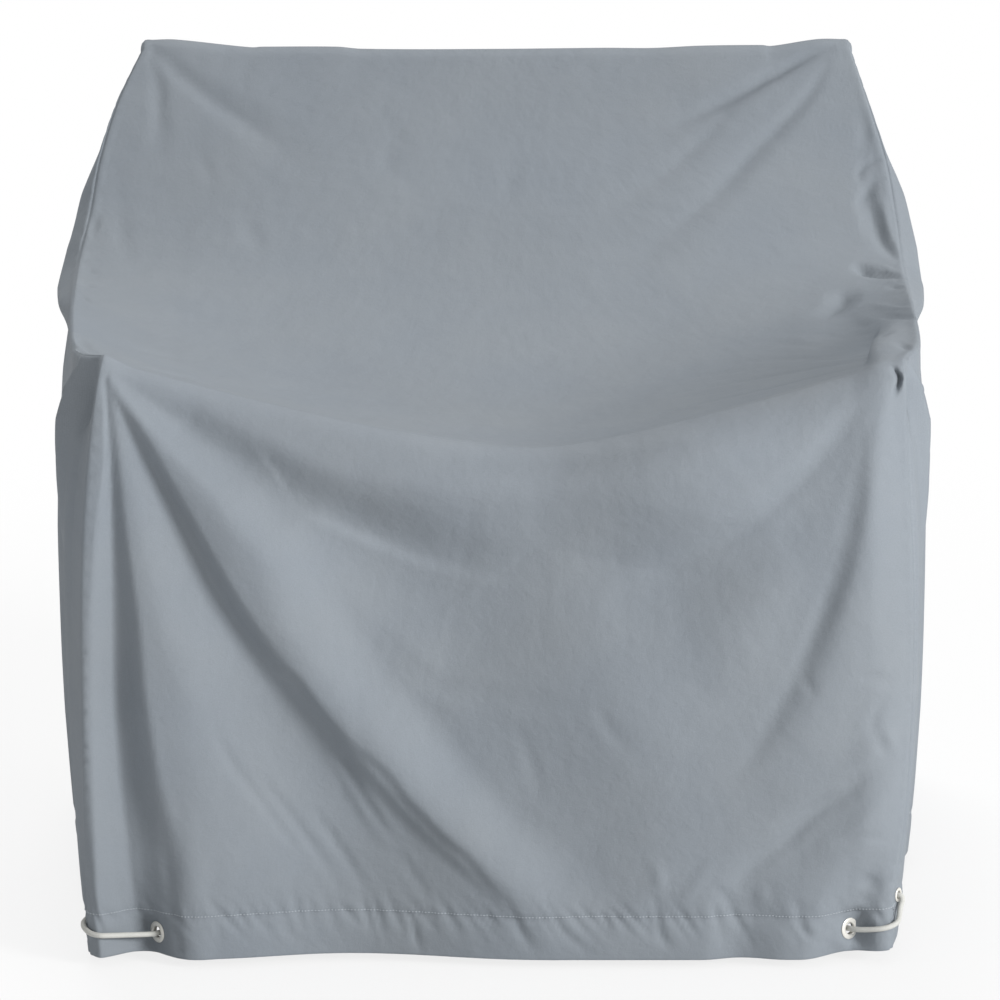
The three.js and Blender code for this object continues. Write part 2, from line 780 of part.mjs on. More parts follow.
// A side panel, rows from hem to seam, columns from the front seam to the rear seam.
function sideRows(strip, side) {
  const sign = side === "left" ? -1 : 1;
  const column = side === "left" ? 0 : ACROSS.length - 1;
  const faceRows = UP_FACE.length - 1;
  const seam = strip.map((row) => row[column]);
  const over = seam.slice(faceRows, seam.length - faceRows);
  const rear = seam.slice(seam.length - faceRows - 1).reverse();
  const last = over.length - 1;
  const startY = over[0].y;
  const endY = over[last].y;
  const rows = UP_FACE.map((t, i) =>
    over.map((head, k) => {
      if (i === faceRows) return head.clone();
      if (k === 0) return seam[i].clone();
      if (k === last) return rear[i].clone();
      const share = (head.y - startY) / (endY - startY);
      const height = rise(t, head.z);
      const hemY = mix(seam[0].y, rear[0].y, share);
      const y = mix(hemY, head.y, height / head.z);
      const hemX = readColumn(SIDE_HEM, "y", side, hemY);
      const x = mix(hemX, Math.abs(head.x), height / head.z);
      const lift = mix(seam[0].z, rear[0].z, share) * smooth(1 - t / HEM_LIFT_SHARE);
      return new THREE.Vector3(sign * x, y, height + lift);
    }),
  );
  for (let i = 0; i < faceRows; i += 1) {
    const row = rows[i];
    const front = row[0];
    const back = row[last];
    for (let k = 1; k < last; k += 1) {
      const p = row[k];
      const top = over[k].z;
      const edges =
        (1 - Math.exp(-(p.y - front.y) / SHOULDER.front)) *
        (1 - Math.exp(-(top - p.z) / SHOULDER.top)) *
        (1 - Math.exp(-Math.max(back.y - p.y, 0) / SHOULDER.rear));
      const bulge =
        readColumn(SIDE_BULGE, "y", side, p.y) *
        readColumn(SIDE_BULGE_BY_HEIGHT, "height", "share", p.z) *
        edges;
      const nearSeam = Math.exp(-(p.y - front.y) / SEAM_REACH);
      const hemX = readColumn(SIDE_HEM, "y", side, front.y);
      const seamShift = (Math.abs(front.x) - mix(hemX, Math.abs(over[0].x), p.z / over[0].z)) * nearSeam;
      p.x += sign * (bulge + seamShift + relief(sideFolds, p.y, p.z) * edges);
      p.copy(flatAtEyelets(p));
    }
  }
  return rows;
}

// Each small square is halved along the folds, which run away from the nearer front corner.
const leansLeft = (p) => p.x < EDGE_MIDDLE;

// A closed sheet: an outer face, an inner face and a rim. The left panel's rows run the other way
// round, so its faces are flipped. Both rims of a seam are halved alike, so that they lie face to
// face, which takes a turn of the strip's right rim.
function sheetGeometry(outer, inner, { flipped = false, rightRimTurned = false } = {}) {
  const rows = outer.length;
  const columns = outer[0].length;
  const points = [...outer.flat(), ...inner.flat()];
  const at = (face, i, j) => face * rows * columns + i * columns + j;
  const faces = [];
  const quad = (a, b, c, d) => faces.push(a, b, c, a, c, d);
  for (let i = 0; i < rows - 1; i += 1) {
    for (let j = 0; j < columns - 1; j += 1) {
      const outside = [at(0, i, j), at(0, i, j + 1), at(0, i + 1, j + 1), at(0, i + 1, j)];
      const inside = [at(1, i, j), at(1, i + 1, j), at(1, i + 1, j + 1), at(1, i, j + 1)];
      if (leansLeft(outer[i][j])) {
        outside.push(outside.shift());
        inside.push(inside.shift());
      }
      quad(...outside);
      quad(...inside);
    }
  }
  const rim = [];
  for (let j = 0; j < columns - 1; j += 1) rim.push([0, j]);
  for (let i = 0; i < rows - 1; i += 1) rim.push([i, columns - 1]);
  for (let j = columns - 1; j > 0; j -= 1) rim.push([rows - 1, j]);
  for (let i = rows - 1; i > 0; i -= 1) rim.push([i, 0]);
  rim.forEach(([i, j], k) => {
    const [m, n] = rim[(k + 1) % rim.length];
    const corners = [at(0, i, j), at(1, i, j), at(1, m, n), at(0, m, n)];
    if (rightRimTurned && j === columns - 1 && n === columns - 1) corners.push(corners.shift());
    quad(...corners);
  });
  const geometry = new THREE.BufferGeometry();
  const position = new Float32Array(points.flatMap((p) => [p.x, p.y, p.z]));
  geometry.setAttribute("position", new THREE.BufferAttribute(position, 3));
  if (flipped) {
    for (let k = 0; k < faces.length; k += 3) [faces[k + 1], faces[k + 2]] = [faces[k + 2], faces[k + 1]];
  }
  geometry.setIndex(faces);
  return geometry;
}

// Half a seam gap, square to the plane in which the two sheets meet, on the sheet's own side.
function drawBack(along, inward, toInside) {
  const away = along.clone().cross(inward).normalize();
  return away.multiplyScalar((Math.sign(away.dot(toInside)) * SEAM_GAP) / 2);
}

const strip = stripRows();
const panels = { left: sideRows(strip, "left"), right: sideRows(strip, "right") };
const stripNormals = gridNormals(strip);
const panelNormals = {
  left: gridNormals(panels.left).map((row) => row.map((n) => n.negate())),
  right: gridNormals(panels.right),
};

// The two sheets meet on the seam in a mitre, so both take the same inward offset there.
function seamOffset(a, b) {
  const middle = a.clone().add(b).normalize();
  const share = Math.max(middle.dot(a), MITRE_LIMIT);
  return middle.multiplyScalar(-CLOTH / share);
}

// Place on the strip of each place on a panel's edge.
function seamPlaces(side) {
  const column = side === "left" ? 0 : ACROSS.length - 1;
  const faceRows = UP_FACE.length - 1;
  const rows = panels[side];
  const lastColumn = rows[0].length - 1;
  const places = [];
  for (let i = 0; i <= faceRows; i += 1) places.push({ strip: [i, column], panel: [i, 0] });
  for (let k = 1; k <= lastColumn; k += 1) {
    places.push({ strip: [faceRows + k, column], panel: [faceRows, k] });
  }
  for (let i = faceRows - 1; i >= 0; i -= 1) {
    places.push({ strip: [strip.length - 1 - i, column], panel: [i, lastColumn] });
  }
  return places;
}

function offsets(normals) {
  return normals.map((row) => row.map((n) => n.clone().multiplyScalar(-CLOTH)));
}
const stripInward = offsets(stripNormals);
const panelInward = { left: offsets(panelNormals.left), right: offsets(panelNormals.right) };
const stripShift = strip.map((row) => row.map(() => new THREE.Vector3()));
const panelShift = {
  left: panels.left.map((row) => row.map(() => new THREE.Vector3())),
  right: panels.right.map((row) => row.map(() => new THREE.Vector3())),
};
for (const side of ["left", "right"]) {
  const places = seamPlaces(side);
  places.forEach((place, k) => {
    const [i, j] = place.strip;
    const [m, n] = place.panel;
    const inward = seamOffset(stripNormals[i][j], panelNormals[side][m][n]);
    const [beforeRow, beforeColumn] = places[Math.max(k - 1, 0)].strip;
    const [afterRow, afterColumn] = places[Math.min(k + 1, places.length - 1)].strip;
    const along = strip[afterRow][afterColumn].clone().sub(strip[beforeRow][beforeColumn]);
    const stripInside = strip[i][j === 0 ? 1 : j - 1].clone().sub(strip[i][j]);
    stripInward[i][j] = inward.clone();
    panelInward[side][m][n] = inward.clone();
    stripShift[i][j].copy(drawBack(along, inward, stripInside));
    panelShift[side][m][n].copy(stripShift[i][j]).negate();
  });
}
const moved = (rows, by) => rows.map((row, i) => row.map((p, j) => p.clone().add(by[i][j])));

const stripOuter = moved(strip, stripShift);
const stripInner = moved(stripOuter, stripInward);
const panelOuter = {
  left: moved(panels.left, panelShift.left),
  right: moved(panels.right, panelShift.right),
};
const panelInner = {
  left: moved(panelOuter.left, panelInward.left),
  right: moved(panelOuter.right, panelInward.right),
};

const MERGED_WITHIN = 1e-4;
const wasm = await Module();
wasm.setup();

function toSolid(geometry) {
  const bare = geometry.clone();
  bare.deleteAttribute("normal");
  bare.deleteAttribute("uv");
  const merged = mergeVertices(bare, MERGED_WITHIN);
  return new wasm.Manifold(
    new wasm.Mesh({
      numProp: 3,
      vertProperties: new Float32Array(merged.attributes.position.array),
      triVerts: new Uint32Array(merged.index.array),
    }),
  );
}

function toGeometry(solid) {
  const mesh = solid.getMesh();
  const geometry = new THREE.BufferGeometry();
  geometry.setAttribute("position", new THREE.BufferAttribute(mesh.vertProperties, 3));
  geometry.setIndex(new THREE.BufferAttribute(mesh.triVerts, 1));
  geometry.computeVertexNormals();
  return geometry;
}

const materials = {
  cloth: new THREE.MeshStandardMaterial({ color: COLOURS.cloth, roughness: 0.75, metalness: 0 }),
  metal: new THREE.MeshStandardMaterial({ color: COLOURS.metal, roughness: 0.3, metalness: 1 }),
  cord: new THREE.MeshStandardMaterial({ color: COLOURS.cord, roughness: 0.9, metalness: 0 }),
};

// Turns a shape made round the Y axis so that the axis runs the way the eyelet faces.
function atEyelet(geometry, { place, facing }) {
  const turn = new THREE.Quaternion().setFromUnitVectors(new THREE.Vector3(0, 1, 0), facing);
  return geometry.applyQuaternion(turn).translate(place.x, place.y, place.z);
}

function disc(radius, from, to, eyelet) {
  const geometry = new THREE.CylinderGeometry(radius, radius, to - from, EYELET_LAND.sides);
  return toSolid(atEyelet(geometry.translate(0, (from + to) / 2, 0), eyelet));
}

// The cloth under an eyelet is level on both faces and has a hole for the barrel.
function withEyeletHoles(solid, held) {
  const { margin, cut, depth } = EYELET_LAND;
  return held.reduce(
    (cloth, eyelet) =>
      cloth
        .add(disc(eyelet.flange + margin, -CLOTH, 0, eyelet))
        .subtract(disc(eyelet.flange + cut, 0, depth, eyelet))
        .subtract(disc(eyelet.flange + cut, -CLOTH - depth, -CLOTH, eyelet))
        .subtract(disc(eyelet.barrel + EYELET_GAP, -depth, depth, eyelet)),
    solid,
  );
}

// A rolled flange in front of the cloth, a barrel through it and a washer behind.
function eyeletGeometry(eyelet) {
  const { flange, barrel, bore, sides } = eyelet;
  const front = EYELET_GAP + EYELET_LIP;
  const back = -CLOTH - EYELET_GAP;
  const washer = flange - EYELET_WASHER.inset;
  const profile = [
    [bore, back - EYELET_WASHER.thickness],
    [washer, back - EYELET_WASHER.thickness],
    [washer, back],
    [barrel, back],
    [barrel, EYELET_GAP],
    [flange, EYELET_GAP],
    [flange - EYELET_LIP, front],
    [bore, front],
    [bore, back - EYELET_WASHER.thickness],
  ].map(([radius, along]) => new THREE.Vector2(radius, along));
  return atEyelet(new THREE.LatheGeometry(profile, sides), eyelet);
}

function cordGeometry(points) {
  const path = new THREE.CatmullRomCurve3(points.map((point) => new THREE.Vector3(...point)));
  const corners = Array.from({ length: CORD_SIDES }, (_, i) => {
    const angle = (2 * Math.PI * i) / CORD_SIDES;
    return new THREE.Vector2(Math.cos(angle), Math.sin(angle)).multiplyScalar(CORD_DIAMETER / 2);
  });
  return new THREE.ExtrudeGeometry(new THREE.Shape(corners), { steps: CORD_STEPS, extrudePath: path });
}

const cover = new THREE.Group();
function addPart(name, geometry, material) {
  const mesh = new THREE.Mesh(geometry, material);
  mesh.name = name;
  cover.add(mesh);
}

function addSheet(name, panel, geometry) {
  const held = eyelets.filter((eyelet) => eyelet.panel === panel);
  addPart(name, toGeometry(withEyeletHoles(toSolid(geometry), held)), materials.cloth);
}
addSheet("main_panel", "main", sheetGeometry(stripOuter, stripInner, { rightRimTurned: true }));
addSheet("left_side_panel", "left", sheetGeometry(panelOuter.left, panelInner.left, { flipped: true }));
addSheet("right_side_panel", "right", sheetGeometry(panelOuter.right, panelInner.right));
for (const eyelet of eyelets) addPart(eyelet.name, eyeletGeometry(eyelet), materials.metal);
for (const [name, points] of Object.entries(CORDS)) addPart(name, cordGeometry(points), materials.cord);

// The origin is the place under the middle of the top from which the cover hangs.
cover.position.set(0, -UNDER_TOP.back, -UNDER_TOP.height);

export default cover;
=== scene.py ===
import math

import bpy
import numpy as np
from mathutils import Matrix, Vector


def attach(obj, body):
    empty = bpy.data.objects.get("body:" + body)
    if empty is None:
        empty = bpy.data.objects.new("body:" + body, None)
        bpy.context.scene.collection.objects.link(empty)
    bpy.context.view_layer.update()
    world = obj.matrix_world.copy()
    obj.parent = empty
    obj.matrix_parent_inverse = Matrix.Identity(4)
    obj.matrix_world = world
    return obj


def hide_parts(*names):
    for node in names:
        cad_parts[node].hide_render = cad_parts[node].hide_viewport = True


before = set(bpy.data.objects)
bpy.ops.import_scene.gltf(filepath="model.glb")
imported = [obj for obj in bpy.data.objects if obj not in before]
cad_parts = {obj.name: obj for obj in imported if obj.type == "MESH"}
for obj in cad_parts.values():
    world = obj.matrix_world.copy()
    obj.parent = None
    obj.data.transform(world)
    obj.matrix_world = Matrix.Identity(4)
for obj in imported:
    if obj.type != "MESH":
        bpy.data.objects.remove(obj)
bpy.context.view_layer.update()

# Outdoor sofa cover, hollow and open below. The cloth is worked out in millimetres above the
# hem's lowest point, with the front towards -Y, and then moved to the frame, whose origin is
# the place under the middle of the top.
ORIGIN = np.array([0.0, 332.0, 818.0])
MILLIMETRE = 0.001
UP = np.array([0, 0, 1.0])
QUARTER_TURN = math.pi / 2
SEED, SEAM_SEED = 7, 17


def to_frame(points):
    return (np.asarray(points, float) - ORIGIN) * MILLIMETRE


def unit(vectors):
    return vectors / np.linalg.norm(vectors, axis=-1, keepdims=True)


def smooth(value):
    x = np.clip(value, 0, 1)
    return x * x * (3 - 2 * x)


def run_length(points):
    """The length from the first row of points to each of them."""
    steps = np.linalg.norm(np.diff(points, axis=0), axis=-1)
    return np.concatenate([np.zeros_like(steps[:1]), np.cumsum(steps, axis=0)])


def read_rows(at, places, rows):
    """Rows that belong to places, read at other places."""
    return np.column_stack([np.interp(at, places, values) for values in rows.T])


def hermite(f, start, end, leaving, arriving):
    """A smooth way from start to end, with the slopes at both."""
    return (
        (2 * f**3 - 3 * f**2 + 1) * start + (f**3 - 2 * f**2 + f) * leaving
        + (-2 * f**3 + 3 * f**2) * end + (f**3 - f**2) * arriving
    )


def tube_faces(rings, sides, first=0):
    """The faces between the rings of a tube, whose first vertex has the index first."""
    i, k = np.meshgrid(np.arange(rings - 1), np.arange(sides), indexing="ij")
    a, n = first + i * sides, (k + 1) % sides
    return np.stack([a + k, a + n, a + sides + n, a + sides + k], -1).reshape(-1, 4).tolist()


def put_in_scene(name, data):
    made = bpy.data.objects.new(name, data)
    bpy.context.scene.collection.objects.link(made)
    return made


def aim(made, place, way):
    made.location = place
    made.rotation_euler = way.to_track_quat("-Z", "Y").to_euler()


def make_object(name, vertices, faces, material, rounded=True):
    mesh = bpy.data.meshes.new(name)
    mesh.from_pydata(np.asarray(vertices, float).tolist(), [], [list(face) for face in faces])
    mesh.polygons.foreach_set("use_smooth", [rounded] * len(mesh.polygons))
    mesh.materials.append(material)
    mesh.update()
    return put_in_scene(name, mesh)


# Camera
TARGET = (5.0, 0.0, 383.0)
VIEW_DISTANCE = 6000.0
VIEW_RISE = math.radians(12)
VIEW_END = 60
FOCAL_LENGTH = 203.9
SENSOR = 36.0


def make_camera():
    away = np.array([0.0, -math.cos(VIEW_RISE), math.sin(VIEW_RISE)])
    place = Vector(to_frame(np.array(TARGET) + VIEW_DISTANCE * away))
    data = bpy.data.cameras.new("camera")
    data.lens = FOCAL_LENGTH
    data.sensor_width = SENSOR
    data.clip_end = VIEW_END
    camera = put_in_scene("camera", data)
    aim(camera, place, Vector(to_frame(TARGET)) - place)
    bpy.context.scene.camera = camera


# Elastic cords: each from its end inside the front eyelet, round the corner and in through the
# side eyelet. Their thickness, lengths and braid are in metres.
CORD_DIAMETER = 0.0054
CORD_SIDES = 48
CORD_STEP = 0.0004
CURVE_STEPS = 12
BRAID_STRANDS = 8
BRAID_PITCH = 0.0075
BRAID_RELIEF = 0.00022
BRAID_FULLNESS, BRAID_MIDDLE = 0.6, 0.6
CORDS = {
    "left_corner_cord": [
        (-329.5, -390.1, 23.5), (-332.5, -392.7, 23.4), (-335.5, -395.4, 23.4), (-338.5, -398, 23.3),
        (-341, -400.1, 23.3), (-344.2, -402, 23.4), (-349, -404.3, 23.7), (-359, -409, 24.7),
        (-369.5, -414.1, 25.9), (-380, -419.6, 27.1), (-387, -423.3, 28), (-393.6, -425.9, 28.7),
        (-399.8, -423.8, 29.1), (-404.9, -420, 29.7), (-408.5, -414, 30.6), (-411.4, -407.6, 31.8),
        (-412.7, -402, 33.2), (-412.6, -397, 34.5), (-411, -392, 35.4), (-409.7, -388, 36),
        (-408.9, -384.6, 36.3), (-408.4, -381.8, 36.5), (-407.4, -379.7, 36.6), (-405.7, -378.1, 36.6),
        (-403.5, -377, 36.6), (-400.5, -375.8, 36.6), (-397, -374.4, 36.6), (-393.5, -373.1, 36.6),
    ],
    "right_corner_cord": [
        (347.7, -389.9, 27.9), (350.3, -392.9, 28.1), (352.9, -396, 28.3), (355.5, -399, 28.4),
        (358.4, -401.9, 28.6), (362, -404.6, 28.9), (367, -407.2, 29.4), (374, -409.9, 30.3),
        (381, -412.3, 31.3), (387, -413.3, 32.2), (392.6, -412.4, 33.2), (397.8, -409.8, 34.4),
        (402, -406, 35.8), (404.3, -401.4, 37.6), (405.4, -396.4, 40), (406.3, -391.8, 43.5),
        (407.3, -388.1, 48), (408.6, -386.5, 51.5), (409.1, -385.9, 54), (408.9, -385.7, 56.2),
        (407.9, -385.1, 57.9), (406.6, -384.4, 58.6), (405, -383.5, 58.8), (402.4, -382, 58.8),
        (399, -380.1, 58.8), (395.5, -378.1, 58.8),
    ],
}


def curve_through(points, step):
    """A smooth curve through points, at an even step, and the length up to each of its places."""
    gaps = np.sqrt(np.linalg.norm(np.diff(points, axis=0), axis=1))[:, None]
    chords = np.diff(points, axis=0) / gaps
    inner = chords[:-1] - (points[2:] - points[:-2]) / (gaps[:-1] + gaps[1:]) + chords[1:]
    ways = np.concatenate([chords[:1], inner, chords[-1:]])
    f = np.linspace(0, 1, CURVE_STEPS, endpoint=False)[:, None]
    dense = [
        hermite(f, points[i], points[i + 1], gap * ways[i], gap * ways[i + 1])
        for i, gap in enumerate(gaps)
    ]
    dense = np.vstack(dense + [points[-1:]])
    along = run_length(dense)
    at = np.linspace(0, along[-1], max(int(along[-1] / step), 2))
    return read_rows(at, along, dense), at


def carried_frames(path):
    """Two directions across the path at each of its points, carried along without twist."""
    tangents = unit(np.gradient(path, axis=0))
    side = np.cross(tangents[0], UP)
    sides = []
    for tangent in tangents:
        side = unit(side - tangent * (side @ tangent))
        sides.append(side)
    sides = np.array(sides)
    return sides, np.cross(tangents, sides)


def braid_height(angle, along):
    """Strands that cross over and under each other, from 0 in the gaps to 1 on their backs."""
    turns = angle / (2 * math.pi)
    a = BRAID_STRANDS * (turns + along / BRAID_PITCH)
    b = BRAID_STRANDS * (turns - along / BRAID_PITCH)
    over = (np.floor(a) + np.floor(b)) % 2
    return np.sin(np.pi * np.where(over > 0, a % 1, b % 1)) ** BRAID_FULLNESS


def make_cord(name, material):
    route = to_frame(CORDS[name])
    path, along = curve_through(route, CORD_STEP)
    sides, ups = carried_frames(path)
    angles = np.linspace(0, 2 * math.pi, CORD_SIDES, endpoint=False)
    radius = CORD_DIAMETER / 2 + BRAID_RELIEF * (braid_height(angles, along[:, None]) - BRAID_MIDDLE)
    around = np.cos(angles)[:, None] * sides[:, None] + np.sin(angles)[:, None] * ups[:, None]
    rings = (path[:, None] + radius[..., None] * around).reshape(-1, 3)
    faces = tube_faces(len(path), CORD_SIDES)
    start, end = len(rings), len(rings) + 1
    for k in range(CORD_SIDES):
        n = (k + 1) % CORD_SIDES
        faces.append((start, n, k))
        faces.append((end, start - CORD_SIDES + k, start - CORD_SIDES + n))
    piece = make_object(name + "_braid", np.vstack([rings, path[:1], path[-1:]]), faces, material)
    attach(piece, "root")
    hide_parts(name)


# Cloth: tables in millimetres, each with named columns.
def table(columns, *rows):
    return {name: np.array([row[k] for row in rows], float) for k, name in enumerate(columns.split())}


CLOTH = 2.0
FRONT_Y = -425.0
ROLL_HEIGHT, ROLL_DEPTH = 50.0, 32.0
EDGE_LOW, EDGE_RISE, EDGE_MIDDLE, EDGE_ROUND = 520.0, 89.0, 34.0, 40.0
EDGE_HALF = {"left": 387.0, "right": 404.0}
EDGE_POWER = {"left": 1.25, "right": 1.15}
SLOPE_LENGTH = 800.0
SLOPE_POWER, SLOPE_EASE = 2.6, 0.45
TOP_FRONT_Y, TOP_REAR_Y, TOP_HEIGHT = 318.0, 346.0, 813.0
TOP_CREST, TOP_CREST_POWER = 7.0, 0.8
REAR_HEM_Y, REAR_POWER = 405.0, 1.2
HEM_DEPTH, HEM_SHARE, HEM_EASE, ROLL_SHARE = 45.0, 0.08, 0.25, 0.86
PEAK_AT = {"left": 383.0, "right": 377.0}
PEAK_REACH, PEAK_BACK, PEAK_HEIGHT = 16.0, 0.035, 5.0
# The heights that the seams' tables give to the top of the front and of the rear.
FRONT_TOP_LEVEL, REAR_TOP_LEVEL = 610.0, 820.0

FRONT_SEAM = table(
    "height left right",
    (0, 407, 398), (60, 410, 400), (150, 412, 411), (300, 412, 417), (400, 410, 415), (500, 403, 409),
    (580, 393, 406), (610, 387, 404),
)
FRONT_SEAM_BACK = table(
    "height left right",
    (0, 20, 20), (60, 18, 22), (150, 10, 24), (300, 5, 24), (400, 4, 24), (500, 3, 24), (580, 2, 24),
    (610, 1, 24),
)
CORNER_START = {"left": 0.965, "right": 0.89}
CORNER_POWER = 1.6
REAR_CORNER_START, REAR_CORNER_BACK = 0.93, 20.0
TOP_LIFT = table(
    "across lift",
    (-1, 2), (-0.975, 3.4), (-0.905, 5), (-0.69, -0.9), (-0.66, 0.1), (-0.45, 1.6), (-0.38, -0.4),
    (0, 0), (0.3, 0.9), (0.44, 0.2), (0.58, 1.9), (0.75, 1), (0.775, -0.4), (0.905, 5.4), (0.975, 4.2),
    (1, 2),
)
TOP_LIFT_START = 0.93
ARM_SEAM = table(
    "y height left right",
    (-393, 608, 387, 404), (-377, 608, 406, 407), (-300, 607, 422, 424), (-110, 606, 438, 434),
    (50, 607, 447, 438), (150, 620, 449, 438), (205, 660, 440, 434), (248, 710, 432, 426),
    (285, 770, 414, 408), (TOP_FRONT_Y, 820, 389, 391),
)
MIDDLE_LINE = table(
    "y height",
    (FRONT_Y + ROLL_DEPTH, EDGE_LOW), (-185, 470), (150, 515), (TOP_FRONT_Y, TOP_HEIGHT),
)
REAR_SEAM = table(
    "height left right",
    (0, 432, 432), (150, 442, 442), (300, 447, 447), (450, 446, 446), (600, 438, 438), (720, 418, 418),
    (820, 389, 391),
)
SIDE_HEM = table(
    "y left right",
    (-401, 407, 398), (-340, 411, 408), (-200, 421, 418), (0, 434, 430), (200, 440, 436),
    (405, 432, 432),
)
SIDE_BULGE = table(
    "y left right",
    (-400, 16, 13), (-300, 8, 8), (-110, 9, 5), (50, 17, 18), (150, 21, 23), (300, 22, 22),
    (405, 16, 16),
)
SIDE_BULGE_BY_HEIGHT = table(
    "height share",
    (0, 0), (60, 0.35), (130, 0.6), (250, 0.95), (420, 1.15), (500, 0.9), (560, 0.4), (600, 0.2),
    (690, 0.3), (740, 0.2), (820, 0),
)
SHOULDER = {"front": 14.0, "top": 9.0, "rear": 24.0}
SIDE_PULL = 40.0
FRONT_HEM = table(
    "across lift",
    (-1, 5), (-0.8, 4), (0.78, 3.5), (0.9, 6), (1, 9),
)
# Shares of the height: where the front's folds begin to fade, and over which the rear's fade at
# its top.
FRONT_FOLD_END, REAR_FOLD_FADE = 0.93, 0.1
FOLD_STEPS, MIDDLE_STEPS = 48, 200


def fold(path, height, left, right=None):
    return {"path": path, "height": height, "left": left, "right": right or left}


# Folds: a path runs along the crest or the bottom, height is how far it stands out, and left and
# right are the reach on either hand of it, all from the path's start to its end. The right one is
# left out where both are the same. On the front and the rear a path is across and height.
FRONT_FOLDS = [
    fold([(-382, 592), (-379, 560), (-375, 470), (-371, 368), (-370, 266), (-366, 165), (-361, 83),
         (-352, 0), (-350, -60)], [-1, -5, -10, -17, -23, -25, -22, -29, -30],
         [4, 9, 14, 22, 28, 38, 56, 46, 46], [4, 8, 24, 34, 38, 40, 42, 50, 50]),
    fold([(-372, 575), (-340, 510), (-305, 440), (-270, 368), (-222, 290), (-184, 210), (-156, 120),
         (-142, 0), (-140, -60)], [0, -8, -18, -26, -30, -31, -28, -24, -23],
         [10, 40, 70, 100, 130, 160, 180, 190, 190], [8, 30, 56, 80, 115, 140, 150, 160, 160]),
    fold([(-376, 592), (-337, 530), (-303, 470), (-247, 368), (-170, 266), (-127, 215), (-83, 165),
         (-25, 114), (30, 60), (75, 0)], [2, 11, 16, 19, 19, 18, 15, 11, 5, 0],
         [8, 34, 74, 78, 75, 75, 70, 60, 50, 50], [6, 13, 16, 20, 34, 32, 28, 28, 28, 28]),
    fold([(-190, 452), (-141, 368), (-106, 307), (-64, 266), (-27, 215), (17, 165), (79, 114), (140, 60)],
         [-4, -22, -27, -28, -25, -20, -12, 0], [120, 150, 180, 190, 190, 180, 150, 120],
         [60, 80, 82, 80, 78, 76, 70, 60]),
    fold([(-368, 588), (-305, 545), (-250, 508), (-202, 470), (-129, 434), (-66, 409), (5, 396),
         (104, 394), (202, 409), (270, 440)], [-1, -13, -15, -17, -21, -25, -22, -17, -8, 0],
         [10, 34, 46, 56, 76, 100, 116, 118, 100, 70], [8, 26, 50, 74, 120, 150, 160, 160, 150, 120]),
    fold([(-202, 470), (-129, 434), (-66, 409), (5, 396), (60, 392)], [0, -4, -4, -2, 0],
         [40, 50, 50, 50, 50], [12, 13, 15, 18, 20]),
    fold([(-165, 238), (-130, 172), (-92, 110)], [0, 6, 0], [26, 30], [20, 26]),
    fold([(-310, 160), (-303, 90), (-298, 20), (-296, -50)], [0, 3, 3, 2], [24, 26, 26], [16, 18, 20]),
    fold([(384, 592), (340, 530), (290, 475), (230, 428), (160, 385), (110, 350)], [0, -4, -7, -7, -5, 0],
         [10, 30, 60, 80, 80, 60], [10, 24, 36, 40, 40, 30]),
    fold([(386, 592), (373, 510), (360, 419), (338, 317), (300, 230), (256, 160)], [0, 4, 8, 8, 6, 0],
         [10, 30, 44, 56, 60, 60], [8, 20, 30, 36, 44, 44]),
    fold([(266, 440), (262, 400), (240, 340), (205, 280)], [0, 5, 5, 0], [40, 60, 60], [60, 80, 80]),
    fold([(190, 600), (185, 540), (170, 470), (160, 400)], [10, 17, 12, 0], [170, 180, 170, 150],
         [120, 140, 140, 120]),
    fold([(402, 215), (372, 190), (345, 168), (315, 145), (288, 118), (262, 96), (245, 40), (250, -40)],
         [0, -5, -7, -7, -6, -8, -9, -9], [20, 36, 50, 50, 50, 46], [16, 26, 30, 36, 40, 40]),
    fold([(384, 120), (366, 64), (357, 0), (355, -60)], [0, -15, -25, -26], [22, 36, 42], [30, 50, 60]),
]
REAR_FOLDS = [
    fold([(-370, 800), (-310, 560), (-290, 300), (-285, -40)], [0, 9, 14, 13], [30, 60, 80]),
    fold([(-180, 700), (-150, 420), (-140, 180), (-140, -40)], [0, -9, -13, -11], [60, 80, 90]),
    fold([(40, 640), (20, 400), (15, 180), (20, -40)], [0, 6, 9, 8], [60, 70, 80]),
    fold([(365, 790), (250, 560), (190, 320), (175, -40)], [0, -9, -14, -12], [30, 60, 80]),
    fold([(380, 780), (350, 500), (335, 250), (330, -40)], [0, 6, 9, 8], [30, 50, 60]),
]
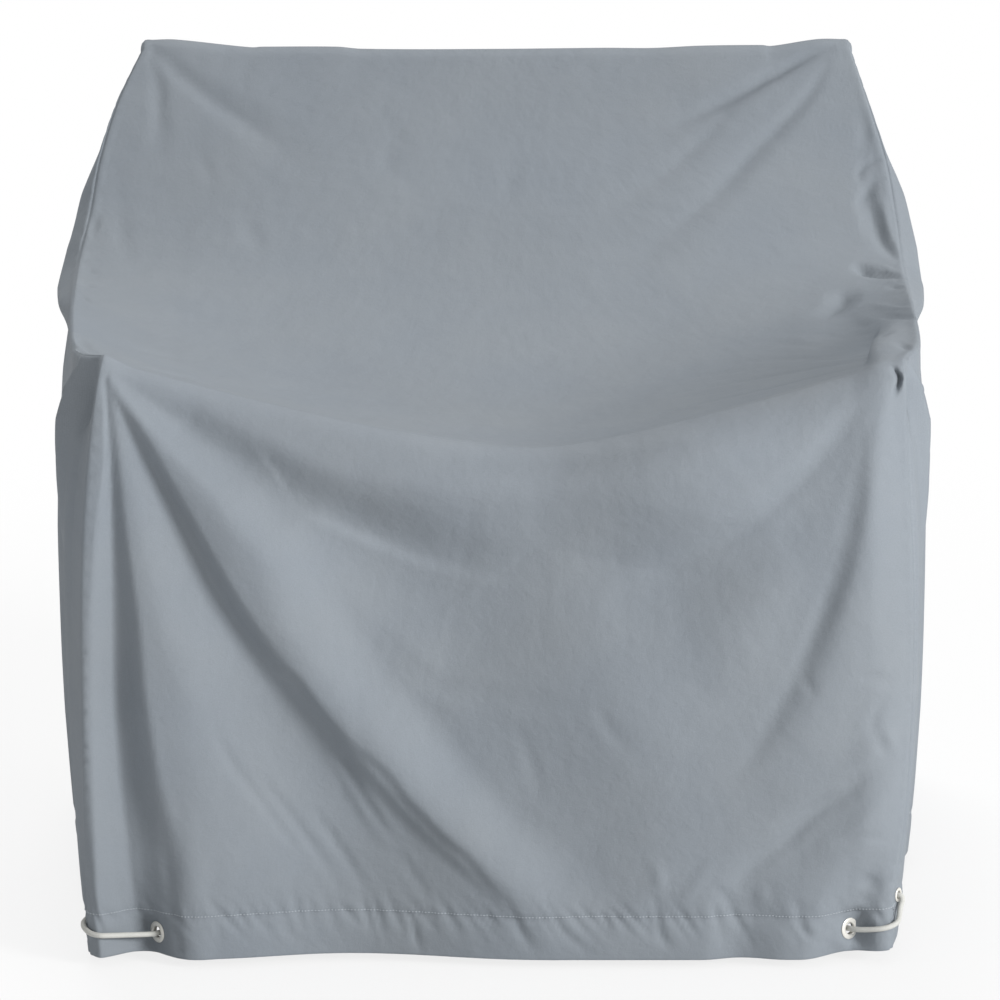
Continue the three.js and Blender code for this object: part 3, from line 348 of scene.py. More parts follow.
# On the slope a path is across and length up the cloth from the front edge.
SLOPE_FOLDS = [
    fold([(370, 797), (322, 783), (257, 749), (190, 717), (110, 680)], [-1, -4, -4.5, -3, 0],
         [6, 14, 22, 30, 34], [6, 14, 20, 26, 34]),
    fold([(364, 781), (338, 744), (284, 687), (230, 625), (160, 556), (110, 510)],
         [-1, -3, -3.5, -3, -2, 0], [8, 18, 24, 30, 36, 36], [8, 16, 22, 28, 36, 36]),
    fold([(268, 747), (214, 688), (135, 625), (80, 590)], [0, -2.5, -2, 0], [16, 22, 28, 30],
         [14, 20, 24, 30]),
    fold([(-376, 798), (-331, 764), (-280, 729), (-229, 688), (-180, 645)], [-1, -4, -4, -2, 0],
         [8, 20, 30, 40, 44], [8, 18, 26, 36, 44]),
    fold([(-378, 790), (-371, 750), (-368, 710), (-372, 670)], [-1, -2.5, -2, 0], [10, 16, 20, 22],
         [8, 12, 16, 18]),
    fold([(416, 652), (404, 630), (405, 608), (411, 580), (422, 552), (434, 533)], [0, -6, -8, -9, -7, -2],
         [10, 14, 16, 16, 14, 12], [10, 12, 14, 16, 14, 12]),
    fold([(388, 526), (399, 505), (411, 494), (424, 481), (436, 468)], [0, -8, -7, -4, -2],
         [10, 12, 12, 10, 10], [12, 14, 14, 12, 10]),
    fold([(338, 398), (356, 412), (368, 432), (366, 466)], [0, -5, -6, 0], [22, 26, 26, 20]),
    fold([(352, 430), (366, 380), (378, 290), (388, 130)], [0, -6, -7, 0], [24, 30, 28, 20],
         [40, 56, 60, 30]),
]
# On a side panel a path is back and height.
SIDE_FOLDS = [
    fold([(-380, 604), (-371, 575), (-366, 510), (-358, 420)], [6, 18, 11, 2], [12, 16, 20, 26],
         [9, 12, 14, 18]),
    fold([(-394, 600), (-391, 570), (-389, 530)], [-4, -10, 0], [8, 8, 8], [7, 7, 7]),
    fold([(-330, 560), (-250, 420), (-190, 240), (-170, 40), (-165, -40)], [0, -10, -15, -13, -9],
         [60, 70, 80, 90]),
    fold([(-60, 560), (-40, 380), (-20, 200), (-10, -40)], [0, 9, 13, 12], [70, 80, 90]),
    fold([(150, 560), (130, 400), (140, 200), (150, -40)], [0, -11, -15, -11], [50, 60, 70], [60, 70, 80]),
    fold([(250, 640), (290, 420), (300, 200), (300, -40)], [0, 7, 11, 9], [50, 60, 60]),
    fold([(-20, 590), (60, 587), (150, 596), (205, 634), (248, 676), (285, 730)], [0, 14, 18, 18, 12, 0],
         [14, 18, 22, 24, 24, 20], [20, 34, 36, 36, 36, 30]),
]


def creases(*rows):
    """Finer folds, from rows of reach, heights and path. A single height is the middle's, and the
    crease fades to both ends."""
    heights = [row[1] if isinstance(row[1], tuple) else (0, row[1], 0) for row in rows]
    return [fold(row[2:], height, [row[0]]) for row, height in zip(rows, heights)]


SEEN_SCALE, SEEN_BASE, SEEN_NARROWING = 1.017, 2.0, 0.02 / 600


def from_front(folds):
    """Moves folds from where they are seen from the front to where they are on its face."""
    placed = []
    for each in folds:
        heights = [SEEN_SCALE * up + SEEN_BASE for _, up in each["path"]]
        path = [(across * (1 - SEEN_NARROWING * z), z) for (across, _), z in zip(each["path"], heights)]
        placed.append({**each, "path": path})
    return placed


FRONT_CREASES = from_front(creases(
    (7, (0, -1.5, -2, -2, -2, -1.5), (-386, 520), (-382, 400), (-380, 300), (-375, 200), (-368, 100),
     (-355, 20)),
    (9, (0, -2, -2), (-333, 150), (-326, 80), (-316, 10)),
    (8, (0, -2, -2.5, -2, -1, 0), (-372, 560), (-345, 510), (-322, 465), (-300, 425), (-278, 385),
     (-262, 352)),
    (9, (0, -2, -2, -2.5, -2, 0), (-262, 352), (-240, 318), (-215, 290), (-200, 280), (-185, 255),
     (-165, 232), (-150, 215)),
    (9, (0, -3, -3.5, -3, -2, 0), (-150, 215), (-135, 208), (-110, 185), (-90, 160), (-70, 140),
     (-50, 120), (-30, 105), (-10, 80), (10, 55)),
    (9, (-1, -3.5, -3, 0), (-165, 225), (-140, 175), (-110, 128), (-95, 110)),
    (9, (0, -2, -2, -1.5, 0), (-285, 240), (-265, 200), (-240, 165), (-215, 130), (-190, 100)),
    (9, (0, -2, -1.5, 0), (-250, 200), (-170, 90), (-155, 55)),
    (9, (0, -2, -1.5, 0), (-185, 150), (-135, 75), (-120, 50)),
    (9, -1.5, (-100, 110), (-60, 50)),
    (18, (0, -1.2, -1.4, -1.4, -1, 0), (-130, 345), (-95, 300), (-50, 268), (0, 262), (50, 257),
     (95, 255)),
    (12, -1.5, (105, 270), (105, 250), (140, 200)),
    (13, -1.4, (15, 240), (35, 200), (45, 150)),
    (18, (-1, -2, -2.5, -2.5, -2, -1, 0), (385, 592), (365, 565), (340, 530), (320, 500), (290, 470),
     (255, 440), (220, 420), (180, 400), (150, 380)),
    (16, (0, -1.5, -2.5, -2.5, -2, -1.5, 0), (380, 560), (370, 500), (360, 450), (348, 400), (328, 350),
     (308, 300), (282, 250), (255, 205), (230, 170)),
    (8, -2.5, (305, 295), (313, 280), (320, 265)),
    (14, (0, -2, -3, -3, -2.5, -1.5, 0), (393, 205), (372, 190), (350, 170), (320, 150), (290, 120),
     (265, 100), (240, 75), (235, 55)),
    (9, (0, -2.4, -1), (360, 287), (378, 287), (396, 280)),
    (10, (0, -1.8, -2.4, -1.8, -0.8), (393, 268), (383, 255), (378, 238), (384, 222), (395, 208)),
    (9, 3, (388, 236), (396, 222), (397, 206)),
    (10, (0, -2, -2, 0), (335, 115), (350, 120), (370, 125), (385, 122), (395, 110)),
    (13, -3.5, (362, 80), (376, 76), (390, 68)),
    (12, 2.2, (155, 110), (165, 80), (160, 60)),
    (12, 2.2, (225, 110), (195, 70), (185, 50)),
    (11, 1.6, (270, 80), (265, 50)),
    (10, -2, (215, 80), (235, 60), (245, 50)),
    (7, (-1, -4, -1), (27, 520), (34, 512), (42, 517)),
    (4, (-1, -8, -11, -8, -1), (395, 590), (401, 586), (405, 579), (403, 572), (398, 564)),
    (6, (-1, -3, -1), (-85, 40), (-75, 5)),
    (6, (-1, -2, 0), (-220, 40), (-195, 10)),
    (6, (-1, -2, 0), (20, 40), (35, 10)),
    (7, (-1, -2, 0), (60, 40), (95, 5)),
    (7, (-1, -2, 0), (155, 40), (180, 8)),
    (7, (-1, -2, 0), (300, 40), (325, 15)),
    (6, (-1, -4, -3), (352, 50), (357, 8)),
))
SLOPE_CREASES = creases(
    (6, (0, 2.5, 2.5, 0), (-140, 10), (-60, 8), (30, 6)),
    (8, (-1, -2.2, -2.6, -2, -1, 0), (367, 800), (322, 783), (288, 766), (257, 749), (219, 730),
     (190, 717)),
    (11, (0, -1.2, -1.6, -1.4, 0), (364, 781), (338, 744), (284, 687), (230, 625), (160, 556)),
    (9, -1.3, (268, 747), (214, 688), (135, 625)),
    (11, -1.8, (398, 730), (403, 697), (397, 671)),
    (9, (-1, -2, -2, -1.6, -1, 0), (-376, 800), (-357, 780), (-331, 764), (-303, 741), (-280, 729),
     (-229, 688)),
    (9, -1.4, (-371, 786), (-367, 743), (-370, 696)),
    (12, -1.4, (-327, 698), (-305, 636)),
    (16, -1.6, (-411, 646), (-404, 581), (-390, 512)),
    (18, -1.6, (-277, 624), (-250, 536)),
    (20, -1.4, (26, 690), (5, 612)),
    (20, -1.4, (-105, 726), (-125, 639)),
    (20, -1.6, (-398, 195), (-355, 238), (-306, 283)),
    (22, -1.8, (-376, 432), (-312, 413), (-249, 423)),
    (12, (0, -3, -2), (-424, 173), (-407, 92), (-397, 60)),
    (9, -2.4, (-441, 606), (-434, 588), (-440, 570)),
    (5, (-1, -3.2, 0), (-440, 505), (-431, 498), (-424, 492)),
    (5, (-1, -3.2, 0), (-440, 452), (-430, 444), (-422, 438)),
    (6, (-1, -2.4, 0), (-436, 395), (-428, 380), (-420, 372)),
    (7, (-1, -3.5, -1), (-424, 92), (-412, 60), (-400, 22)),
    (6, (-1, -3, -4, -3.4, 0), (423, 675), (413, 669), (401, 662), (396, 652), (400, 640)),
    (5, (0, -2.2, -2, 0), (409, 641), (401, 627), (395, 621), (393, 601)),
    (6, (0, 2, 4, 4, 2, -1), (405, 631), (403, 611), (404, 591), (409, 566), (418, 552), (431, 533)),
    (7, 2.2, (420, 640), (424, 594), (430, 556)),
    (5, -2, (400, 598), (404, 577)),
    (3, (0, 2, 1), (404, 512), (418, 500), (434, 478)),
    (6, (0, 2.4, 1), (399, 530), (417, 511), (434, 487)),
    (5, (0, -2.4, -1), (415, 450), (431, 424)),
    (5, 1.6, (412, 466), (434, 446)),
    (5, (0, 2.2, 1), (366, 408), (394, 396), (431, 306)),
    (9, (0, -3.4, -1.6), (386, 384), (407, 327), (429, 244)),
    (4, 1.6, (376, 372), (398, 352), (424, 300)),
    (9, (0, -2.6, -2.6, 0), (348, 406), (363, 417), (369, 429), (366, 463)),
    (4, 1.6, (354, 396), (366, 410), (374, 424)),
    (7, -2.4, (390, 134), (398, 160), (408, 190)),
    (8, -3, (405, 118), (412, 45)),
    (5, -1.8, (295, 289), (346, 225), (381, 139)),
    (4, 1.2, (294, 262), (328, 226), (376, 136)),
    (5, (0, -1.5, -1.5, 0), (213, 322), (275, 311), (340, 248), (372, 203)),
    (5, -1.5, (150, 287), (213, 299), (295, 277)),
    (5, -1.4, (109, 286), (172, 304), (243, 300)),
    (5, -1.5, (299, 373), (345, 343), (378, 299)),
    (6, -1.3, (215, 379), (298, 349), (365, 255)),
    (4, -1.8, (371, 362), (386, 334), (399, 312)),
    (4, -1.8, (365, 338), (386, 293), (395, 278)),
    (4, -1.6, (368, 312), (382, 274), (395, 250)),
    (4, -1.8, (369, 285), (385, 237), (394, 224)),
    (4, -1.5, (372, 258), (384, 214), (392, 196)),
    (7, -1.2, (67, 281), (151, 315), (213, 322)),
    (9, (0, -1.6, -1.6, 0), (395, 60), (330, 190), (250, 250), (150, 250)),
    (8, (0, -1.6, -1.6, 0), (390, 30), (310, 130), (210, 180), (105, 140)),
    (6, -1.6, (370, 20), (300, 45), (220, 60)),
    (14, -1.6, (-385, 20), (-320, 120), (-240, 190)),
) + [
    fold([(386, 530), (394, 508), (408, 495), (421, 483), (434, 467)], [0, -5, -1, 1.4, 0],
         [7, 8, 6, 4, 3], [8, 9, 7, 5, 4]),
    fold([(376, 4), (380, 70), (388, 150), (396, 230), (400, 300)], [2, 13, 14, 10, 0],
         [8, 12, 12, 12, 10], [30, 44, 44, 40, 30]),
]
SIDE_CREASES = creases(
    (6, (-1, -9, -8, 0), (-388, 600), (-386, 578), (-386, 555), (-388, 530)),
    (6, (0, -4, -1), (-381, 603), (-370, 596), (-352, 588)),
    (5, 3.5, (-378, 590), (-374, 576), (-372, 562)),
    (7, -2, (-372, 560), (-366, 500), (-360, 430)),
    (14, -3, (-360, 600), (-330, 560), (-310, 500)),
    (18, -3, (-200, 596), (-180, 520), (-190, 440)),
    (20, -3, (40, 596), (70, 520), (60, 420)),
    (18, -3, (230, 640), (215, 560), (225, 470)),
    (14, -3, (300, 740), (320, 640), (325, 540)),
)

# Eyelets: the middle of each on the cloth's face, and the way it faces.
EYELET_SIZES = {
    "wide": {"flange": 11.0, "barrel": 6.4, "bore": 5.6},
    "small": {"flange": 7.4, "barrel": 4.8, "bore": 4.1},
}


def eyelet_at(name, size, place, facing):
    return {"name": name, **EYELET_SIZES[size], "place": np.array(place), "facing": unit(np.array(facing))}


eyelets = [
    eyelet_at("front_left_eyelet", "wide", (-338.5, -398, 24.5), (-0.75, -0.66, -0.04)),
    eyelet_at("side_left_eyelet", "small", (-403.5, -377, 37), (-0.93, -0.368, 0)),
    eyelet_at("front_right_eyelet", "wide", (355.5, -399, 28.5), (0.65, -0.76, 0.05)),
    eyelet_at("side_right_eyelet", "small", (405, -383.5, 59), (0.87, -0.493, 0)),
]
# The cloth's hole reaches a little past the barrel. The cloth lies flat around the flange, where
# it is near the eyelet's face, and eases off over the two fades.
HOLE_MARGIN, HOLE_DEPTH = 0.9, 12.0
FLAT_MARGIN, FLAT_FADE, FLAT_DEPTH, FLAT_DEPTH_FADE = 2.0, 12.0, 14.0, 10.0


def read_column(rows, key, column, at):
    """A smooth curve through a table's rows, each value read where the key column has at."""
    keys, values = rows[key], rows[column]
    last = len(keys) - 1
    x = np.clip(at, keys[0], keys[last])
    i = np.clip(np.searchsorted(keys, x, side="left") - 1, 0, last - 1)
    before, after = np.maximum(np.arange(last + 1) - 1, 0), np.minimum(np.arange(last + 1) + 1, last)
    slopes = (values[after] - values[before]) / (keys[after] - keys[before])
    step = keys[i + 1] - keys[i]
    return hermite((x - keys[i]) / step, values[i], values[i + 1], step * slopes[i], step * slopes[i + 1])


def of_side(u, values):
    return np.where(u < 0, values["left"], values["right"])


def by_side(u, rows, key, at):
    return np.where(u < 0, read_column(rows, key, "left", at), read_column(rows, key, "right", at))


arm_length = run_length(np.column_stack([ARM_SEAM["y"], ARM_SEAM["height"]]))
arm_seam = {**ARM_SEAM, "share": arm_length / arm_length[-1]}


def middle_line():
    """The curve of the cloth's middle, from the front edge to the top."""
    t = np.linspace(0, 1, MIDDLE_STEPS + 1)[:, None]
    weights = [(1 - t) ** 3, 3 * t * (1 - t) ** 2, 3 * t * t * (1 - t), t**3]
    points = np.column_stack([MIDDLE_LINE["y"], MIDDLE_LINE["height"]])
    line = sum(weight * point for weight, point in zip(weights, points))
    along = run_length(line)
    return along / along[-1], line


middle_share, middle_points = middle_line()


def edge_share(u):
    """How far the front edge has risen from its lowest place to its ends."""
    off = u * of_side(u, EDGE_HALF) - EDGE_MIDDLE
    on_left = off < 0
    reach = np.where(on_left, EDGE_HALF["left"] + EDGE_MIDDLE, EDGE_HALF["right"] - EDGE_MIDDLE)
    power = np.where(on_left, EDGE_POWER["left"], EDGE_POWER["right"])
    risen = (np.hypot(off, EDGE_ROUND) - EDGE_ROUND) / (np.hypot(reach, EDGE_ROUND) - EDGE_ROUND)
    return risen**power


def peak_over(u):
    off = np.abs(u) * of_side(u, EDGE_HALF) - of_side(u, PEAK_AT)
    return PEAK_HEIGHT * np.exp(-((off / PEAK_REACH) ** 2))


def roll_turn(t):
    """The turn of the cloth over the rolled edge at the top of an upright face."""
    return np.clip((t - ROLL_SHARE) / (1 - ROLL_SHARE), 0, 1) * QUARTER_TURN


def rise(t, height):
    """Height on an upright face: the hem has its own depth and the rest follows the face."""
    straight = height - ROLL_HEIGHT
    hem = HEM_DEPTH * t / HEM_SHARE
    wall = HEM_DEPTH + (straight - HEM_DEPTH) * (t - HEM_SHARE) / (ROLL_SHARE - HEM_SHARE)
    roll = straight + ROLL_HEIGHT * np.sin(roll_turn(t))
    return np.where(t < HEM_SHARE, hem, np.where(t < ROLL_SHARE, wall, roll))


def corner_share(u, start):
    return np.clip((np.abs(u) - start) / (1 - start), 0, 1) ** CORNER_POWER


def on_front(u, t):
    top = EDGE_LOW + EDGE_RISE * edge_share(u) + peak_over(u)
    z = rise(t, top) + read_column(FRONT_HEM, "across", "lift", u) * smooth(1 - t / HEM_EASE)
    level = z / top * FRONT_TOP_LEVEL
    corner = corner_share(u, of_side(u, CORNER_START)) * by_side(u, FRONT_SEAM_BACK, "height", level)
    turn = roll_turn(t)
    y = FRONT_Y + ROLL_DEPTH * (1 - np.cos(turn)) + corner * (1 - turn / QUARTER_TURN)
    return np.stack([u * by_side(u, FRONT_SEAM, "height", level), y, z], -1)


def on_slope(u, s):
    g = edge_share(u)
    g = g + (np.abs(u) ** SLOPE_POWER - g) * smooth(s / SLOPE_EASE)
    middle_y, middle_z = (np.interp(s, middle_share, values) for values in middle_points.T)
    y = middle_y + (read_column(arm_seam, "share", "y", s) - middle_y) * g
    z = middle_z + (read_column(arm_seam, "share", "height", s) - middle_z) * g
    z = z + peak_over(u) * np.exp(-s / PEAK_BACK)
    lift = read_column(TOP_LIFT, "across", "lift", u)
    z = z + lift * smooth((s - TOP_LIFT_START) / (1 - TOP_LIFT_START))
    return np.stack([u * by_side(u, arm_seam, "share", s), y, z], -1)


def over_top(u, w):
    start = on_slope(u, np.ones_like(u))
    y = TOP_FRONT_Y + (TOP_REAR_Y - TOP_FRONT_Y) * w
    z = start[..., 2] + TOP_CREST * np.sin(np.pi * w) ** TOP_CREST_POWER
    return np.stack([start[..., 0], y, z], -1)


def on_rear(u, t):
    top = over_top(u, np.ones_like(u))[..., 2]
    z = rise(t, top)
    corner = corner_share(u, REAR_CORNER_START) * REAR_CORNER_BACK
    y = REAR_HEM_Y + (TOP_REAR_Y - REAR_HEM_Y) * t**REAR_POWER - corner * (1 - smooth(t))
    return np.stack([u * by_side(u, REAR_SEAM, "height", z / top * REAR_TOP_LEVEL), y, z], -1)


def fold_steps(path):
    """Even steps along a smooth curve through the path's points."""
    p = np.array(path, float)
    rows = {"a": p[:, 0], "b": p[:, 1], "length": run_length(p)}
    at = np.linspace(0, rows["length"][-1], FOLD_STEPS + 1)
    return np.column_stack([read_column(rows, "length", column, at) for column in ("a", "b")])


def spread(values, t):
    return np.interp(t * (len(values) - 1), np.arange(len(values)), values)


def relief(folds, a, b):
    """How far the folds raise the cloth at places a and b."""
    total = np.zeros_like(a)
    for each in folds:
        steps = fold_steps(each["path"])
        reach = max(each["left"] + each["right"])
        low, high = steps.min(0) - reach, steps.max(0) + reach
        near = (a > low[0]) & (a < high[0]) & (b > low[1]) & (b < high[1])
        if not near.any():
            continue
        pa, pb = a[near], b[near]
        best = np.full(pa.shape, np.inf)
        hand, along = np.zeros((2, *pa.shape))
        for i in range(FOLD_STEPS):
            a0, b0 = steps[i]
            da, db = steps[i + 1] - steps[i]
            f = np.clip(((pa - a0) * da + (pb - b0) * db) / (da * da + db * db), 0, 1)
            ea, eb = pa - a0 - f * da, pb - b0 - f * db
            distance = np.hypot(ea, eb)
            closer = distance < best
            best = np.where(closer, distance, best)
            hand = np.where(closer, da * eb - db * ea, hand)
            along = np.where(closer, (i + f) / FOLD_STEPS, along)
        reach = np.where(hand > 0, spread(each["left"], along), spread(each["right"], along))
        profile = np.where(best < reach, 0.5 + 0.5 * np.cos(np.pi * np.minimum(best / reach, 1)), 0)
        total[near] += spread(each["height"], along) * profile
    return total


def from_eyelet(places, eyelet):
    """How far places lie out from the eyelet's face, and how far away from its axis."""
    off = places - eyelet["place"]
    out = off @ eyelet["facing"]
    return out, np.sqrt(np.maximum((off**2).sum(-1) - out**2, 0))


def flat_at_eyelets(places):
    """The cloth lies flat around each eyelet and eases back into its folds."""
    for eyelet in eyelets:
        out, away = from_eyelet(places, eyelet)
        share = 1 - smooth((away - eyelet["flange"] - FLAT_MARGIN) / FLAT_FADE)
        near = 1 - smooth((np.abs(out) - FLAT_DEPTH) / FLAT_DEPTH_FADE)
        places = places - (out * share * near)[..., None] * eyelet["facing"]
    return places


def in_eyelet_holes(centres):
    inside = np.zeros(len(centres), bool)
    for eyelet in eyelets:
        out, away = from_eyelet(centres, eyelet)
        inside |= (away < eyelet["barrel"] + HOLE_MARGIN) & (np.abs(out) < HOLE_DEPTH)
    return inside


def grid_normals(rows):
    return unit(np.cross(np.gradient(rows, axis=1), np.gradient(rows, axis=0)))


# Where the cloth is divided, as shares of the half width, of a face's height and of the slope.
def divided(*parts):
    """Even steps from place to place: place, steps, place, steps and so on to the last place."""
    places = [np.array([parts[0]], float)]
    for i in range(0, len(parts) - 2, 2):
        places.append(np.linspace(parts[i], parts[i + 2], parts[i + 1] + 1)[1:])
    return np.concatenate(places)


HALF_ACROSS = divided(0, 100, 0.955, 9, 0.985, 6, 1)
ACROSS = np.concatenate([-HALF_ACROSS[::-1], HALF_ACROSS[1:]])
UP_FRONT = divided(0, 18, HEM_SHARE, 134, ROLL_SHARE, 20, 1)
ALONG_SLOPE = divided(0, 6, 0.012, 8, 0.05, 60, 0.45, 66, 0.9, 18, 1)
OVER_TOP = divided(0, 10, 1)
UP_REAR = divided(0, 7, HEM_SHARE, 40, ROLL_SHARE, 10, 1)
# The strip's rows run up the front, over the slope and the top, and down the rear.
FRONT_END = len(UP_FRONT)
TOP_END = FRONT_END + len(ALONG_SLOPE) - 1 + len(OVER_TOP) - 1
# Each side panel's sign across and its column on the strip.
SIDES = {"left": (-1, 0), "right": (1, -1)}

# The hem: it is turned up inside, sewn at its depth and pulled in there. HEM_INSIDE gives the
# shares of the face's height at which the turned edge lies behind it, and HEM_FOLD how far
# inward, in thicknesses, and how far down its bottom bends.
HEM_INSIDE = (0.078, 0.05, 0.02, 0.005)
HEM_FOLD = ((0.9, 0), (0.5, 0.5), (0.12, 0.35))
STITCH_DIP, STITCH_REACH = 0.9, 4.0
HEM_PUFF, HEM_PUFF_AT, HEM_PUFF_REACH = 0.6, 0.55 * HEM_DEPTH, 15.0
PUCKER_STEP, PUCKER_DEEP, PUCKER_REACH = (9.0, 19.0), (0.8, 3.4), 3.8
PUCKER_TALL, PUCKER_TALL_RANGE = 15.0, (0.6, 1.5)
PUCKER_LEAN, PUCKER_LEAN_RANGE = 0.5, (0.2, 2.0)
# The seams between the panels: a narrow groove with a soft swell beside it.
SEAM_LENGTH, SEAM_REACH = 2300.0, 30.0
SEAM_DIP, SEAM_DIP_REACH = 1.9, 2.0
SEAM_PUFF, SEAM_PUFF_AT, SEAM_PUFF_REACH = 0.8, 6.5, 3.6
SWELL_STEP, SWELL_LOSS, SWELL_REACH = (14, 34), (0.5, 2.2), 4.0


def bell(off, reach):
    return np.exp(-((off / reach) ** 2))


def hem_relief(along, height, seed):
    """The sewn line's dip and the small puckers across it."""
    off_line = height - HEM_DEPTH
    total = HEM_PUFF * bell(height - HEM_PUFF_AT, HEM_PUFF_REACH)
    total -= STITCH_DIP * bell(off_line, STITCH_REACH)
    chance = np.random.default_rng(seed)
    place = along.min()
    while place < along.max():
        place += chance.uniform(*PUCKER_STEP)
        deep = chance.uniform(*PUCKER_DEEP)
        tall = PUCKER_TALL * chance.uniform(*PUCKER_TALL_RANGE)
        lean = PUCKER_LEAN * chance.uniform(*PUCKER_LEAN_RANGE)
        total -= deep * bell(along - place + lean * off_line, PUCKER_REACH) * bell(off_line, tall)
    return total


def make_strip():
    """The strip of cloth, from the front hem over the slope and the top to the rear hem."""
    down_rear = UP_REAR[::-1][1:]
    front = on_front(*np.meshgrid(ACROSS, UP_FRONT))
    slope = on_slope(*np.meshgrid(ACROSS, ALONG_SLOPE[1:]))
    top = over_top(*np.meshgrid(ACROSS, OVER_TOP[1:]))
    rear = on_rear(*np.meshgrid(ACROSS, down_rear))
    rows = np.concatenate([front, slope, top, rear])
    ways = grid_normals(rows)
    ways[:FRONT_END] = (0, -1, 0)
    ways[TOP_END:] = (0, 1, 0)
    (x, _, z), (rear_x, _, rear_z) = np.moveaxis(front, -1, 0), np.moveaxis(rear, -1, 0)
    front_fade = 1 - smooth((UP_FRONT - FRONT_FOLD_END) / (1 - FRONT_FOLD_END))
    rear_fade = smooth((1 - down_rear) / REAR_FOLD_FADE)
    up_slope = np.broadcast_to(ALONG_SLOPE[1:, None] * SLOPE_LENGTH, slope.shape[:2])
    amounts = np.concatenate([
        relief(FRONT_FOLDS + FRONT_CREASES, x, z) * front_fade[:, None] + hem_relief(x, z, SEED),
        relief(SLOPE_FOLDS + SLOPE_CREASES, slope[..., 0], up_slope),
        np.zeros(top.shape[:2]),
        relief(REAR_FOLDS, rear_x, rear_z) * rear_fade[:, None] + hem_relief(rear_x, rear_z, SEED + 1),
    ])
    return flat_at_eyelets(rows + amounts[..., None] * ways)


def seam_parts(line):
    """A line along the strip in a side panel's parts: up the front, over the top and up the rear."""
    rear = read_rows(UP_FRONT, UP_REAR, line[TOP_END - 1:][::-1])
    return line[:FRONT_END], line[FRONT_END - 1:TOP_END], rear


def make_side(strip, side):
    """A side panel, rows from hem to seam, columns from the front seam to the rear seam."""
    sign, column = SIDES[side]
    front, over, rear = seam_parts(strip[:, column])
    t = UP_FRONT[:, None]
    over_x, over_y, over_z = np.abs(over[:, 0]), over[:, 1], over[:, 2]
    front_y = front[:, 1:2]
    share = (over_y - over_y[0]) / (over_y[-1] - over_y[0])
    height = rise(t, over_z)
    up = height / over_z
    hem_y = front[0, 1] + (rear[0, 1] - front[0, 1]) * share
    hem_x = read_column(SIDE_HEM, "y", side, hem_y)
    hem_z = front[0, 2] + (rear[0, 2] - front[0, 2]) * share
    x = hem_x + (over_x - hem_x) * up
    y = hem_y + (over_y - hem_y) * up
    z = height + hem_z * smooth(1 - t / HEM_EASE)
    inward = {"front": y - front_y, "top": over_z - z, "rear": rear[:, 1:2] - y}
    edges = math.prod(1 - np.exp(-np.maximum(off, 0) / SHOULDER[edge]) for edge, off in inward.items())
    bulge = read_column(SIDE_BULGE, "y", side, y) * read_column(SIDE_BULGE_BY_HEIGHT, "height", "share", z)
    bulge += relief(SIDE_FOLDS + SIDE_CREASES, y, z) + hem_relief(y, z, SEED + 2 + sign)
    front_hem_x = read_column(SIDE_HEM, "y", side, front_y)
    straight = front_hem_x + (over_x[0] - front_hem_x) * z / over_z[0]
    shift = (np.abs(front[:, :1]) - straight) * np.exp(-(y - front_y) / SIDE_PULL)
    rows = np.stack([sign * (x + bulge * edges + shift), y, z], -1)
    rows[:, 0], rows[:, -1], rows[-1] = front, rear, over
    rows[:-1, 1:-1] = flat_at_eyelets(rows)[:-1, 1:-1]
    return rows


def edge_distance(rows):
    """Length across the cloth from its first column and from its last one, at each place."""
    along = run_length(rows.swapaxes(0, 1)).T
    return along, along[:, -1:] - along


def seam_profile(distance, swell):
    puff = SEAM_PUFF * swell * bell(distance - SEAM_PUFF_AT, SEAM_PUFF_REACH)
    return SEAM_DIP * bell(distance, SEAM_DIP_REACH) - puff


def swells(count, seed):
    """How full the cloth stands along a seam: between puckers it swells, at them it doesn't."""
    at = np.linspace(0, SEAM_LENGTH, count)
    chance = np.random.default_rng(seed)
    total = np.ones(count)
    place = 0.0
    while place < SEAM_LENGTH:
        place += chance.uniform(*SWELL_STEP)
        total -= chance.uniform(*SWELL_LOSS) * bell(at - place, SWELL_REACH)
    return total


def sew(strip, panels):
    """Draws both sheets in along their seams, where they meet edge to edge."""
    normals = grid_normals(strip)
    sewn = strip.copy()
    sewn_panels = {}
    for n, (side, rows) in enumerate(panels.items()):
        sign, column = SIDES[side]
        panel_normals = grid_normals(rows) * sign
        edge = np.concatenate([panel_normals[:, 0], panel_normals[-1, 1:]])
        both = unit(edge + normals[:TOP_END, column])
        rear_both = unit(panel_normals[:, -1] + seam_parts(normals[:, column])[2])
        rear_on_strip = read_rows(UP_REAR, UP_FRONT, rear_both)[::-1][1:]
        along_strip = np.concatenate([both, rear_on_strip])[:, None]
        swell = swells(len(strip), SEAM_SEED + n)[:, None]
        distance = edge_distance(strip)[column]
        dip = np.where(distance < SEAM_REACH, seam_profile(distance, swell), 0)
        sewn -= dip[..., None] * along_strip
        front_swell, top_swell, rear_swell = seam_parts(swell)
        from_seam, from_rear = edge_distance(rows)
        from_top = run_length(rows[::-1])[::-1]
        nearest = np.minimum(np.minimum(from_seam, from_rear), from_top)
        at_top, at_front = nearest == from_top, nearest == from_seam
        dip = np.where(at_front, seam_profile(from_seam, front_swell), seam_profile(from_rear, rear_swell))
        dip = np.where(at_top, seam_profile(from_top, top_swell.T), dip)
        way = np.where(at_front[..., None], both[:FRONT_END, None], rear_both[:, None])
        way = np.where(at_top[..., None], both[None, FRONT_END - 1:], way)
        sewn_panels[side] = rows - np.where(nearest < SEAM_REACH, dip, 0)[..., None] * way
    for side, rows in sewn_panels.items():
        rows[:, 0], rows[-1], rows[:, -1] = seam_parts(sewn[:, SIDES[side][1]])
    return sewn, sewn_panels


def row_at(shares, share):
    return int(np.argmin(np.abs(shares - share)))


